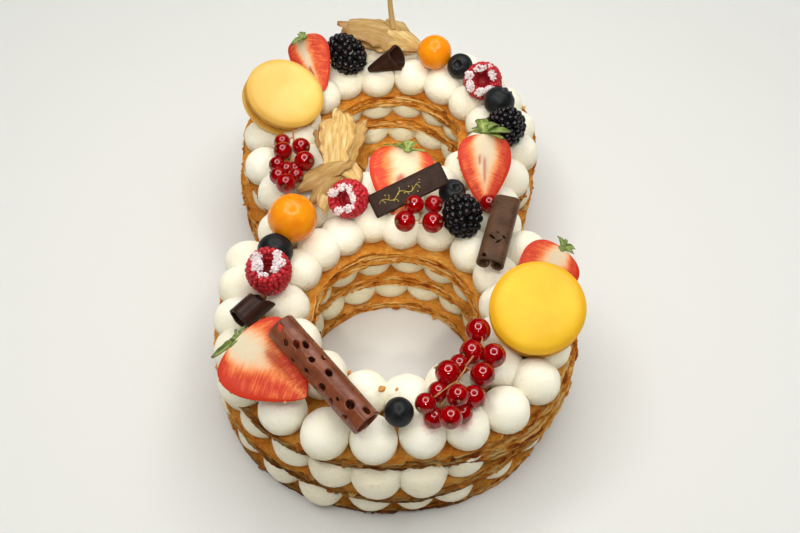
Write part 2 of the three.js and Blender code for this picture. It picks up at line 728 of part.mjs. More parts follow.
// Turns a shape whose length lies along Y so that it runs between two points, its top up
function between(geometry, from, to) {
  const start = new THREE.Vector3(...from);
  const end = new THREE.Vector3(...to);
  const along = new THREE.Vector3().subVectors(end, start).normalize();
  const across = new THREE.Vector3().crossVectors(along, new THREE.Vector3(0, 0, 1)).normalize();
  const up = new THREE.Vector3().crossVectors(across, along);
  const frame = new THREE.Matrix4().makeBasis(across, along, up);
  frame.setPosition(start.add(end).multiplyScalar(0.5));
  return geometry.applyMatrix4(frame);
}

// One lobe of a papery husk: a pointed shell, open underneath, its surface gently pleated
function lobeGeometry({ from, to, width, tall, open, pleat }) {
  const length = new THREE.Vector3(...from).distanceTo(new THREE.Vector3(...to));
  const shell = sheetGeometry((u, v) => {
    const girth = 0.15 + 0.85 * Math.sin(Math.PI * (0.06 + 0.88 * v)) ** 0.8;
    const angle = Math.PI / 2 + (u - 0.5) * THREE.MathUtils.degToRad(open);
    const fold = 1 + pleat * Math.cos(u * 5 * Math.PI);
    return [
      -width / 2 * girth * fold * Math.cos(angle),
      length * (v - 0.5),
      tall * girth * fold * Math.sin(angle),
    ];
  }, 4, 4, 0.8);
  return between(shell, from, to);
}

function huskGeometry({ lobes, stalk }) {
  const parts = lobes.map(lobeGeometry);
  if (stalk) parts.push(rodGeometry(stalk.from, stalk.to, stalk.radius, 5));
  return joined(parts);
}

function piece(name, geometry, paint) {
  const closed = closeUp(geometry);
  closed.computeVertexNormals();
  const material = new THREE.MeshStandardMaterial({ ...paint, metalness: 0, flatShading: true });
  const mesh = new THREE.Mesh(closed, material);
  mesh.name = name;
  return mesh;
}

// A topping: its own shape, set at a place and turned
function topping(name, geometry, paint, { at, turn = 0, lean = 0, side = 0 }) {
  const mesh = piece(name, geometry, paint);
  mesh.position.set(...at);
  mesh.rotation.copy(angles(turn, lean, side));
  return mesh;
}

const CHOCOLATE_SHAPES = {
  roll: rollGeometry,
  doubleRoll: doubleRollGeometry,
  cone: coneGeometry,
  bar: barGeometry,
};

// Builds every topping, in groups by kind
function toppings() {
  const all = new THREE.Group();
  for (const [name, placed] of Object.entries(MACARONS)) all.add(macaron(name, placed));
  for (const [name, placed] of Object.entries(STRAWBERRIES)) {
    const berry = topping(name, strawberryGeometry(...placed.size), PAINT.strawberry, placed);
    const crown = piece(`${name}_leaves`, crownGeometry(placed.crown), PAINT.leaf);
    crown.rotation.x = CROWN_LEAN;
    crown.position.set(...placed.crown.at);
    const holder = new THREE.Group();
    holder.position.copy(berry.position);
    holder.rotation.copy(berry.rotation);
    holder.add(crown);
    all.add(berry, holder);
  }
  for (const [name, placed] of Object.entries(BRAMBLES)) {
    all.add(topping(name, beadedGeometry(...placed.size, 8, 10, 0.12), PAINT.bramble, placed));
  }
  for (const [name, placed] of Object.entries(RASPBERRIES)) {
    all.add(topping(name, raspberryGeometry(...placed.size), PAINT.raspberry, placed));
  }
  for (const [name, placed] of Object.entries(BLUEBERRIES)) {
    all.add(topping(name, blueberryGeometry(...placed.size), PAINT.blueberry, placed));
  }
  for (const [name, placed] of Object.entries(PHYSALIS)) {
    all.add(topping(name, new THREE.SphereGeometry(placed.width / 2, 10, 6), PAINT.physalis, placed));
  }
  for (const [name, { berries, stalk }] of Object.entries(CURRANTS)) {
    all.add(piece(name, currantsGeometry(berries, stalk), PAINT.currant));
  }
  for (const [name, husk] of Object.entries(HUSKS)) all.add(piece(name, huskGeometry(husk), PAINT.husk));
  for (const [name, placed] of Object.entries(CHOCOLATES)) {
    all.add(topping(name, CHOCOLATE_SHAPES[placed.shape](...placed.size), PAINT[placed.paint], placed));
  }
  return all;
}

const cake = new THREE.Group();
cake.name = 'number_cake';

const dressed = toppings();
const seats = [];
dressed.traverse((node) => {
  if (node.isMesh) seats.push(seatSolid(node));
});

for (const [name, { seed, z, grow, shift }] of Object.entries(PASTRIES)) {
  cake.add(piece(name, pastryGeometry(seed, z, grow, ...shift), PAINT.pastry));
}
for (const [name, { seed, z, start, grow }] of Object.entries(SQUASHED_CREAMS)) {
  cake.add(piece(name, squashedCreamGeometry(seed, z, start, grow), PAINT.cream));
}
cake.add(piece('cream_top', topCreamGeometry(seats), PAINT.cream));
cake.add(dressed);

export default cake;
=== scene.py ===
import math

import bpy
import numpy as np
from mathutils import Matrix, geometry


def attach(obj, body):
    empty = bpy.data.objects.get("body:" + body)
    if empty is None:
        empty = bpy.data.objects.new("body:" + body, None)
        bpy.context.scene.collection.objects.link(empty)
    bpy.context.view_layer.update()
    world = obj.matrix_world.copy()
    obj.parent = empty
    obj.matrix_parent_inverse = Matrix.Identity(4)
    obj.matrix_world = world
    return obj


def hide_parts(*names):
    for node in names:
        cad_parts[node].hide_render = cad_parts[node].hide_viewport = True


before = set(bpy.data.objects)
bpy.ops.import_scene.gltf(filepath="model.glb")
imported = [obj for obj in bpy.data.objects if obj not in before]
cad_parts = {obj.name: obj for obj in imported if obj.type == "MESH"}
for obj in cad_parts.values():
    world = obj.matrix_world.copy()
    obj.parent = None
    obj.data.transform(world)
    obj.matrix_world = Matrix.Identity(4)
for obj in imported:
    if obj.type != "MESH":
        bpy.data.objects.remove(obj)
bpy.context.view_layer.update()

# Number cake in the shape of an 8. Sizes and places are in millimetres in the frame of the
# solids, and become metres where a mesh is made. Angles are in degrees.
MM = 0.001
TURN = 2 * math.pi

# Plan of the 8: the middle, half depth and half width of each loop, and its hole
LOWER = {"x": 0.5, "y": -56.5, "reach": 75, "wide": 77, "hole": (1, -57.5, 38.5)}
UPPER = {"x": -1.1, "y": 55, "reach": 74, "wide": 74.4, "hole": (-1, 55.5, 36.5)}
WAIST_BLEND = 22

# Heights
PASTRY_THICK = 4.85
LAYER_PITCH = 17.7
DECK = 2 * LAYER_PITCH + PASTRY_THICK
CREAM_TOP = 15.5

# The sheets of pastry: underside, reach past the plan, how far each lies off centre, how far
# it reaches into the holes, how far its loose laminae droop there and at the front right, and how
# far one spills into the upper hole at the left
PASTRIES = {
    "pastry_bottom": {
        "seed": 1, "z": 0, "grow": 0.2, "shift": (-1.2, -1), "lip": 0.8, "droop": (0, 0.3), "spill": 11,
    },
    "pastry_middle": {
        "seed": 3, "z": LAYER_PITCH, "grow": 1.2, "shift": (-1, -1.5), "lip": -1.2, "droop": (1.2, 3.8),
    },
    "pastry_top": {
        "seed": 5, "z": 2 * LAYER_PITCH, "grow": 0.3, "shift": (0.5, 1), "lip": 2.2, "droop": (2.4, 8),
    },
}

# The cream between them: height, the angles at which its three rows start, its reach, and the
# angles of the balls that show at the front
SQUASHED_CREAMS = {
    "cream_bottom": {
        "seed": 2, "z": PASTRY_THICK, "starts": (-90.6, -87.3, -86.4), "grow": -1.5,
        "angles": (-144.6, -129.3, -113.9, -97.5, -82.9, -69.5, -52.7),
    },
    "cream_middle": {
        "seed": 4, "z": LAYER_PITCH + PASTRY_THICK, "starts": (-102.8, -98, -90), "grow": -1,
        "angles": (-140.5, -124.4, -109.2, -95.1, -80.8, -66.2),
    },
}

# How far each layer reaches from the middle of the lower loop, by angle, round its front;
# for cream, how far the middles of its balls lie
FRONT_RADII = {
    "pastry_bottom": (
        (-160, 76.5), (-145, 77), (-122, 76.3), (-108, 75.6), (-96, 75), (-77, 74.8), (-60, 75),
        (-28, 73.8), (-7, 75.3),
    ),
    "pastry_middle": (
        (-160, 77), (-134, 78.6), (-112, 78.2), (-95, 79.4), (-83, 79.5), (-73, 78), (-63, 76),
        (-50, 74.8), (-20, 75.5),
    ),
    "pastry_top": (
        (-160, 76), (-140, 76.6), (-117, 76.8), (-98, 75.5), (-88, 75), (-70, 76), (-52, 75),
        (-42, 76.6), (-20, 76),
    ),
    "cream_bottom": (
        (-160, 68), (-145, 68.4), (-128, 70.2), (-113, 71.5), (-97, 68.2), (-83, 68), (-70, 67),
        (-53, 65.5), (-20, 64),
    ),
    "cream_middle": (
        (-160, 67.5), (-137, 68.3), (-123, 68.2), (-108, 70.8), (-95, 72.2), (-81, 72.3), (-67, 68.6),
        (-43, 66), (-20, 64.5),
    ),
}

# How much narrower the right side of the upper loop is
SIDE_IN = 2

# Piped balls: from one to the next, half sizes, how far they lie in from the edge, the angles at
# which the top rows start, and how far the outer one lies further in round the upper loop
BALL_PITCH = 17.8
BALL_ALONG = 9.9
BALL_ACROSS = 10.2
BALL_INSET = 9.6
TOP_START = {"outer": -93, "lower": 22.5, "upper": 8}
UPPER_ROW_IN = 4.2
# How far balls of each top row lie off their even places, to the right and back
MOVED_BALLS = {
    "outer": {
        0: (-1, -2.5), 1: (0.5, -0.5), 2: (0.5, -2), 3: (1.5, -4), 4: (2.5, -3), 5: (0, -2.5),
        10: (3.5, -5), 11: (3, -5), 12: (2.5, -3), 13: (1.5, -1.5), 23: (-2, -1), 24: (-2, -3),
        25: (-2.5, -8), 26: (-1.5, -9.5), 27: (1, -6), 29: (-4, -2), 32: (-3, 1), 33: (-8.5, 0),
        34: (-4, -1.5), 35: (-2.5, -4),
    },
    "lower": {
        0: (1.5, -0.5), 7: (-1.5, 2.5), 8: (-1, 6.5), 9: (0, 9.5), 10: (4, 13.5), 11: (6.5, 9),
        12: (5.5, 5.5), 13: (3, 6.5), 15: (-1, 2.5), 16: (1, 0),
    },
    "upper": {
        0: (3, 0), 1: (2, -1.5), 8: (-2, 0), 9: (-2, -2.5), 11: (-1.5, 0), 12: (-1.5, -3.5), 13: (-0.5, -1),
        14: (0, -1), 15: (0.5, -1),
    },
}
# Where juice has stained the cream: places and radii
STAINS = (
    (15.5, -122.5, 55, 5), (27.3, -120.5, 55, 6), (22, -126, 54, 4.5), (48, -10, 56, 5),
    (41.5, -9, 57, 4),
)

# Balls outside those rows, on the bridge and by the front macaron: places and radii
LONE_BALLS = ((-38, 1, 10.4), (38, 1, 10.4), (-23, 1, 9.4), (23, 1, 9.4), (46, -89.5, 9.8))

# The spots that light the insides of the lower and the upper hole: power, how far each stands
# in front of the back edge of its hole, its height, and its half-dark cone
SPOT_WATTS = (14, 22)
SPOT_BACK = 460
SPOT_HEIGHT = 482
SPOT_CONE = 6.4

# The soft box behind the cake, in metres
SOFT_BOX = {"at": (0.15, 0.4, 0.9), "turn": (-22, 8, 0), "size": 1.1, "size_y": 0.9, "energy": 1.5}

# The ring lamp overhead: its radius, that of its tube, its height, the points round each and its
# strength; and how far the floor reaches and how high it lies
RING = {"radius": 600, "tube": 80, "height": 1250, "around": 64, "across": 12, "strength": 7.5}
FLOOR = {"reach": 4000, "height": -0.1}

# The camera: what it looks at, how far it looks down, its distance, its lens and its sensor
VIEW = {"target": (3.5, -11, 20), "elevation": 48.85, "distance": 528, "lens": 49.68, "sensor": 36}


def chance(seed):
    """A number from 0 to 1 that is always the same for one seed"""
    wave = math.sin(seed * 12.9898 + 4.1414) * 43758.5453
    return wave - math.floor(wave)


def jitter(seed, size):
    return (chance(seed) * 2 - 1) * size


def smooth_step(value, low, high):
    share = np.clip((value - low) / (high - low), 0, 1)
    return share * share * (3 - 2 * share)


def noise(points, size, seed=0):
    """Smooth noise from -1 to 1 at each point, with lumps of a given size"""
    spot = np.asarray(points, float) / size + seed * 17.31
    cell = np.floor(spot).astype(np.int64)
    part = spot - cell
    part = part * part * (3 - 2 * part)
    total = np.zeros(len(spot))
    for corner in range(8):
        step = np.array([corner & 1, corner >> 1 & 1, corner >> 2 & 1])
        weight = np.prod(np.where(step, part, 1 - part), axis=1)
        x, y, z = (cell + step).T
        mixed = (x * 73856093 ^ y * 19349663 ^ z * 83492791) & 0xFFFFFFFF
        mixed = ((mixed ^ mixed >> 15) * 2246822519) & 0xFFFFFFFF
        mixed = ((mixed ^ mixed >> 13) * 3266489917) & 0xFFFFFFFF
        total += weight * ((mixed ^ mixed >> 16) & 0xFFFF) / 32767.5
    return total - 1


def spin(turn=0, lean=0, side=0):
    """Turn about Z, then lean towards -Y and side towards +X"""
    t, l, s = (math.radians(angle) for angle in (turn, lean, side))
    about_z = np.array([[math.cos(t), -math.sin(t), 0], [math.sin(t), math.cos(t), 0], [0, 0, 1]])
    about_x = np.array([[1, 0, 0], [0, math.cos(l), -math.sin(l)], [0, math.sin(l), math.cos(l)]])
    about_y = np.array([[math.cos(s), 0, math.sin(s)], [0, 1, 0], [-math.sin(s), 0, math.cos(s)]])
    return about_y @ about_x @ about_z


def placed(points, at, turn=0, lean=0, side=0):
    """Points turned and leant about the origin, then moved to a place"""
    return points @ spin(turn, lean, side).T + np.array(at)


class Shape:
    """Points with faces, and named numbers for each point that its material reads"""

    def __init__(self):
        self.points = []
        self.faces = []
        self.marks = {}
        self.count = 0

    def add(self, points, faces, **marks):
        points = np.asarray(points, float).reshape(-1, 3)
        for block in faces:
            self.faces.extend((np.asarray(block) + self.count).tolist())
        for name in set(self.marks) | set(marks):
            row = self.marks.setdefault(name, [np.zeros(self.count)] if self.count else [])
            row.append(np.broadcast_to(np.asarray(marks.get(name, 0), float), len(points)))
        self.points.append(points)
        self.count += len(points)


def linked(name, data):
    """A new object of the scene"""
    made = bpy.data.objects.new(name, data)
    bpy.context.scene.collection.objects.link(made)
    return made


def mesh_object(name, points, faces, material):
    """A new object from points in millimetres"""
    mesh = bpy.data.meshes.new(name)
    mesh.from_pydata((points * MM).tolist(), [], faces)
    mesh.materials.append(material)
    return linked(name, mesh)


def make(name, shape, material, replaces=(), smooth=True):
    """Makes a piece that rides on the cake"""
    piece = mesh_object(name, np.concatenate(shape.points), shape.faces, material)
    mesh = piece.data
    for mark, rows in shape.marks.items():
        layer = mesh.attributes.new(mark, "FLOAT", "POINT")
        layer.data.foreach_set("value", np.concatenate(rows).astype(np.float32))
    mesh.polygons.foreach_set("use_smooth", [smooth] * len(mesh.polygons))
    mesh.update()
    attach(piece, "root")
    if replaces:
        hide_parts(*replaces)


def make_one(name, points, faces, material, slot, replaces, smooth=True, **marks):
    """Makes a piece that has a single part"""
    shape = Shape()
    shape.add(points, faces, **marks)
    make(name, shape, material, replaces, smooth)


def unit(ways):
    return ways / np.linalg.norm(ways, axis=-1, keepdims=True)


def run_along(points):
    """How far along a curve each of its points lies"""
    return np.concatenate([[0], np.cumsum(np.hypot(*np.diff(points, axis=0).T))])


def rounded(profile, count):
    """A smooth curve through a few points, as evenly spaced points"""
    corners = np.array(profile, float)
    ends = np.concatenate([corners[:1], corners, corners[-1:]])
    spans = np.linspace(0, len(corners) - 1, count)
    first = np.minimum(spans.astype(int), len(corners) - 2)
    t = (spans - first)[:, None]
    a, b, c, d = (ends[first + k] for k in range(4))
    bend = 2 * a - 5 * b + 4 * c - d
    return 0.5 * (2 * b + (c - a) * t + bend * t ** 2 + (3 * b - a - 3 * c + d) * t ** 3)


def ring_faces(rows, columns):
    """Quads between rows of points, each row closed on itself"""
    row = np.arange(rows - 1)[:, None]
    column = np.arange(columns)[None, :]
    after = (column + 1) % columns
    corners = [row * columns + column, row * columns + after]
    corners += [corners[1] + columns, corners[0] + columns]
    return np.stack(corners, -1).reshape(-1, 4)


def closed_rings(rings, low, high):
    """A skin over rows of points, each row closed on itself, with a pole at either end"""
    rows, columns = rings.shape[:2]
    points = np.concatenate([rings.reshape(-1, 3), [low, high]])
    around = np.arange(columns)
    after = (around + 1) % columns
    last = (rows - 1) * columns
    bottom = np.stack([after, around, np.full(columns, rows * columns)], -1)
    top = np.stack([last + around, last + after, np.full(columns, rows * columns + 1)], -1)
    return points, [ring_faces(rows, columns), bottom, top]


def lathe(profile, columns):
    """A profile of radius and height, from pole to pole, turned about Z"""
    profile = np.asarray(profile, float)
    angle = np.arange(columns) / columns * TURN
    radius, height = profile[1:-1, :1], profile[1:-1, 1:]
    rings = np.stack([radius * np.cos(angle), radius * np.sin(angle), height + 0 * angle], -1)
    return closed_rings(rings, (0, 0, profile[0, 1]), (0, 0, profile[-1, 1]))


def globe(columns, rows):
    """A ball of radius 1"""
    turn = np.linspace(-math.pi / 2, math.pi / 2, rows)
    return lathe(np.stack([np.cos(turn), np.sin(turn)], -1), columns)


def thin_sheet(grid, thick, keep=None):
    """A closed sheet of a given thickness on a grid of points, without the cells not kept"""
    rows, columns = grid.shape[:2]
    normal = np.cross(np.gradient(grid, axis=1), np.gradient(grid, axis=0))
    normal /= np.maximum(np.linalg.norm(normal, axis=-1, keepdims=True), 1e-9)
    half = normal * np.broadcast_to(thick, (rows, columns))[..., None] / 2
    points = np.concatenate([(grid + half).reshape(-1, 3), (grid - half).reshape(-1, 3)])
    keep = np.ones((rows - 1, columns - 1), bool) if keep is None else keep
    number = np.arange(rows * columns).reshape(rows, columns)
    under = rows * columns
    a, b, c, d = number[:-1, :-1], number[:-1, 1:], number[1:, 1:], number[1:, :-1]
    faces = [np.stack([a, b, c, d], -1)[keep], np.stack([a, d, c, b], -1)[keep] + under]
    around = np.pad(keep, 1)
    for p, q, down, across in ((a, b, -1, 0), (b, c, 0, 1), (c, d, 1, 0), (d, a, 0, -1)):
        edge = keep & ~around[1 + down:rows + down, 1 + across:columns + across]
        faces.append(np.stack([q, p, p + under, q + under], -1)[edge])
    used, packed = np.unique(np.concatenate(faces), return_inverse=True)
    return points[used], [packed.reshape(-1, 4)], used % under


def tube(shape, path, radii, sides=7, **marks):
    """A closed tube along a path"""
    path = np.asarray(path, float)
    along = unit(np.gradient(path, axis=0))
    across = unit(np.cross(along, [0.3, 0.2, 0.9]))
    up = np.cross(across, along)
    angle = np.arange(sides) / sides * TURN
    radii = np.broadcast_to(radii, len(path))[:, None, None]
    ring = across[:, None] * np.cos(angle)[:, None] + up[:, None] * np.sin(angle)[:, None]
    points, faces = closed_rings(path[:, None] + ring * radii, path[0], path[-1])
    shape.add(points, [block[:, ::-1] for block in faces], **marks)


def rgb(code):
    """Linear colour from a hexadecimal one"""
    parts = [int(code[i:i + 2], 16) / 255 for i in (0, 2, 4)]
    return tuple(p / 12.92 if p <= 0.04045 else ((p + 0.055) / 1.055) ** 2.4 for p in parts) + (1,)


class Look:
    """A node material with short calls for the nodes that these materials need"""

    def __init__(self, name, **sockets):
        self.material = bpy.data.materials.new(name)
        self.material.use_nodes = True
        self.tree = self.material.node_tree
        self.shader = self.tree.nodes["Principled BSDF"]
        for socket, value in sockets.items():
            self.shader.inputs[socket.replace("_", " ")].default_value = value
        self.here = self.node("ShaderNodeTexCoord").outputs["Object"]

    def put(self, made, socket, value):
        """Links or sets a socket of a node; a colour may be hexadecimal"""
        if isinstance(value, bpy.types.NodeSocket):
            self.tree.links.new(value, made.inputs[socket])
        else:
            made.inputs[socket].default_value = rgb(value) if isinstance(value, str) else value

    def node(self, kind, inputs=(), **settings):
        made = self.tree.nodes.new(kind)
        for setting, value in settings.items():
            setattr(made, setting, value)
        for socket, value in dict(inputs).items():
            self.put(made, socket, value)
        return made

    def noise(self, size, detail, rough=0.5, at=None, stretch=None):
        """Noise whose lumps are so many millimetres wide, from 0 to 1"""
        where = self.here if at is None else at
        if stretch:
            where = self.node("ShaderNodeMapping", {"Vector": where, "Scale": stretch}).outputs[0]
        inputs = {"Vector": where, "Scale": 1 / (size * MM), "Detail": detail, "Roughness": rough}
        return self.node("ShaderNodeTexNoise", inputs).outputs["Fac"]

    def streaks(self, marks, stretch, detail=2, rough=0.5):
        """Noise that runs along marks in place of x, y and z"""
        inputs = {axis: self.mark(mark) for axis, mark in enumerate(marks)}
        where = self.node("ShaderNodeCombineXYZ", inputs).outputs[0]
        return self.noise(1 / MM, detail, rough, where, stretch)

    def cells(self, size):
        """Distance to the nearest of many scattered spots"""
        inputs = {"Vector": self.here, "Scale": 1 / (size * MM)}
        return self.node("ShaderNodeTexVoronoi", inputs).outputs["Distance"]

    def mark(self, name):
        return self.node("ShaderNodeAttribute", attribute_name=name).outputs["Fac"]

    def part(self, name, share):
        """A share of a mark"""
        return self.math("MULTIPLY", self.mark(name), share)

    def math(self, operation, a, b, clamp=False):
        return self.node("ShaderNodeMath", {0: a, 1: b}, operation=operation, use_clamp=clamp).outputs[0]

    def scaled(self, value, low, high, to_low=0.0, to_high=1.0):
        inputs = {"Value": value, "From Min": low, "From Max": high, "To Min": to_low, "To Max": to_high}
        return self.node("ShaderNodeMapRange", inputs, clamp=True).outputs[0]

    def ramp(self, value, *stops):
        made = self.node("ShaderNodeValToRGB", {"Fac": value})
        band = made.color_ramp
        while len(band.elements) < len(stops):
            band.elements.new(0.5)
        for element, (position, code) in zip(band.elements, stops):
            element.position = position
            element.color = rgb(code)
        return made.outputs["Color"]

    def mix(self, share, a, b):
        return self.node("ShaderNodeMix", {0: share, 6: a, 7: b}, data_type="RGBA").outputs[2]

    def into(self, socket, value):
        self.tree.links.new(value, self.shader.inputs[socket])

    def bump(self, height, depth, after=None):
        """Relief of so many millimetres"""
        inputs = {"Height": height, "Distance": depth * MM, "Strength": 1.0}
        if after:
            inputs["Normal"] = after
        made = self.node("ShaderNodeBump", inputs).outputs["Normal"]
        self.into("Normal", made)
        return made

    def painted(self, colour):
        """The finished material, in a colour"""
        self.into("Base Color", colour)
        return self.material


def pastry_look():
    """Baked puff pastry: golden laminae with painted shade in the gaps, on the front and under the sheets,
    and caramel patches on top
    """
    look = Look("pastry", Roughness=0.6, Specular_IOR_Level=0.12)
    grain = look.noise(1.1, 4, 0.75)
    patches = look.noise(9, 5, 0.66)
    layers = look.noise(1.3, 5, 0.75, stretch=(0.5, 0.5, 2.8))
    base = look.ramp(patches, (0.3, "cc7420"), (0.46, "e39234"), (0.6, "f2ae4c"), (0.74, "fbcc76"))
    fine = look.mix(look.scaled(grain, 0.3, 0.56, 0.4, 1), "a85614", base)
    strata = look.math("ADD", look.math("MULTIPLY", layers, 0.6), look.part("tone", 0.4))
    side = look.ramp(strata, (0.3, "9c4408"), (0.42, "d67c20"), (0.53, "f6a940"), (0.66, "fed284"))
    colour = look.mix(look.mark("side"), fine, side)
    # painted shade: gap rows and undersides are darkened towards dark brown
    colour = look.mix(look.scaled(look.mark("gap"), 0.2, 1, 0, 0.75), colour, "843808")
    colour = look.mix(look.mark("pale"), colour, "f4c070")
    # painted shade: fronts of the lower loop are darkened towards near black
    colour = look.mix(look.mark("shade"), colour, "341404")
    look.bump(layers, 1, look.bump(grain, 0.8))
    return look.painted(colour)


def cream_look():
    """Whipped cream: ivory, with painted shade that makes it yellower low down and painted warm light on
    the balls in the holes, with small pits and a bubbly grain low down
    """
    look = Look(
        "cream", Roughness=0.5, Specular_IOR_Level=0.3, Subsurface_Weight=0.2, Subsurface_Scale=0.002,
        Subsurface_Radius=(1.0, 0.8, 0.45),
    )
    colour = look.ramp(look.noise(14, 2), (0.3, "f6efd7"), (0.7, "fbf6e5"))
    # painted shade: the low part of each ball, and each squashed ball, is tinted yellower
    colour = look.mix(look.part("foot", 0.5), colour, "efd9a0")
    # painted light: balls in the holes are tinted a lighter warm ivory
    colour = look.mix(look.part("inner", 0.9), colour, "fff6d4")
    spread = look.math("MULTIPLY", look.mark("stain"), look.scaled(look.noise(2, 3), 0.3, 0.6, 0.2, 0.85))
    colour = look.mix(spread, colour, "c8607e")
    low = look.scaled(look.mark("foot"), 0, 0.5, 0.25, 1)
    pits = look.scaled(look.cells(1.7), 0.08, 0.3)
    where = look.math("MULTIPLY", look.scaled(look.noise(6, 1), 0.36, 0.5), low)
    holes = look.bump(look.mix(where, (1, 1, 1, 1), pits), 0.45)
    look.bump(look.math("MULTIPLY", look.noise(1.1, 4, 0.7), low), 1.3, holes)
    return look.painted(colour)


def loop_distance(loop, x, y):
    """How far a point lies outside one loop"""
    return np.hypot((x - loop["x"]) * loop["reach"] / loop["wide"], y - loop["y"]) - loop["reach"]


def outline_distance(x, y):
    """How far a point lies outside the 8: the two loops, blended at the waist"""
    to_lower = loop_distance(LOWER, x, y)
    to_upper = loop_distance(UPPER, x, y)
    near = np.maximum(WAIST_BLEND - abs(to_lower - to_upper), 0) / WAIST_BLEND
    return np.minimum(to_lower, to_upper) - near * near * WAIST_BLEND / 4


def way_out(points):
    """The way out at each point of a closed curve that runs counterclockwise"""
    along = np.roll(points, -1, 0) - np.roll(points, 1, 0)
    return unit(np.stack([along[:, 1], -along[:, 0]], -1))


def evenly(points, count):
    """So many evenly spaced points along a closed curve, and its length"""
    closed = np.concatenate([points, points[:1]])
    run = run_along(closed)
    at = np.arange(count) / count * run[-1]
    return np.stack([np.interp(at, run, closed[:, axis]) for axis in (0, 1)], -1), run[-1]


# How many points the 8 is traced with
TRACED = 1440


def outline_rim(grow, count, start):
    """Evenly spaced points along the outline moved out by grow, and the way out at each"""
    angle = math.radians(start) + np.arange(TRACED) / TRACED * TURN
    inside, outside = np.zeros(TRACED), np.full(TRACED, 200.0)
    for _ in range(30):
        middle = (inside + outside) / 2
        within = outline_distance(middle * np.cos(angle), middle * np.sin(angle)) < 0
        inside, outside = np.where(within, middle, inside), np.where(within, outside, middle)
    edge = inside[:, None] * np.stack([np.cos(angle), np.sin(angle)], -1)
    moved, _ = evenly(edge + way_out(edge) * grow, TRACED)
    points, _ = evenly(moved, count)
    return points, way_out(points)


def to_front_radii(points, layer):
    """Moves points of the lower loop in or out to the radii measured round its front"""
    angles, radii = np.array(FRONT_RADII[layer]).T
    x, y = (points[:, 0] - LOWER["x"]) * LOWER["reach"] / LOWER["wide"], points[:, 1] - LOWER["y"]
    wanted = np.interp(np.degrees(np.arctan2(y, x)), angles, radii)
    share = smooth_step(-points[:, 1], 45, 80)
    scale = 1 + share * (wanted / np.hypot(x, y) - 1)
    middle = np.array([LOWER["x"], LOWER["y"]])
    return middle + (points - middle) * scale[:, None]


def narrowed(points):
    """Moves the right side of the upper loop in"""
    moved = points.copy()
    moved[:, 0] -= SIDE_IN * smooth_step(points[:, 0], 40, 68) * smooth_step(points[:, 1], 0, 35)
    return moved


def to_angles(points, angles):
    """Turns balls of the lower loop to the angles measured round its front, and fades out beyond"""
    middle = np.array([LOWER["x"], LOWER["y"]])
    x, y = (points - middle).T
    now = np.degrees(np.arctan2(y, x))
    held = now[(np.argmin(abs(now - angles[0])) + np.arange(len(angles))) % len(now)]
    turned = np.interp(now, [held[0] - 35, *held, held[-1] + 35], [0, *(np.array(angles) - held), 0])
    angle, far = np.radians(now + turned), np.hypot(x, y)
    return middle + np.stack([far * np.cos(angle), far * np.sin(angle)], -1)


def outline_length(grow):
    points, _ = outline_rim(grow, TRACED, 0)
    return evenly(points, 4)[1]


def hole_rim(hole, grow, count, start):
    """Points round a hole; the way out is towards the middle of the hole"""
    angle = math.radians(start) - np.arange(count) / count * TURN
    x, y, radius = hole
    out = -np.stack([np.cos(angle), np.sin(angle)], -1)
    return np.array([x, y]) - out * (radius + grow), out


# A section through the edge of a sheet: how many laminae show, and the rows of points across
# its top and underside
LAMINAE = 8
TOP_ROWS = (14, 9, 5.6, 3.2, 1.6, 0.5)
BOTTOM_ROWS = (1, 4, 12)
# How many evenly spaced points stand round the outline and round each hole, and how many
# points lie between two loose flakes
OUTLINE_POINTS = 660
HOLE_POINTS = ((LOWER, 250), (UPPER, 235))
FLAKE_EVERY = 3.45
# Across a flake, from its root to its edge: shares of its reach, and thickness
FLAKE_ROWS = (0, 0.45, 0.8, 1)
FLAKE_THICK = (0.4, 0.38, 0.3, 0.15)


def broken(points, size, seed):
    """Noise from -1 to 1 that changes by sudden steps, like the edge of a broken layer"""
    return smooth_step(noise(points, size, seed), -0.07, 0.07) * 2 - 1


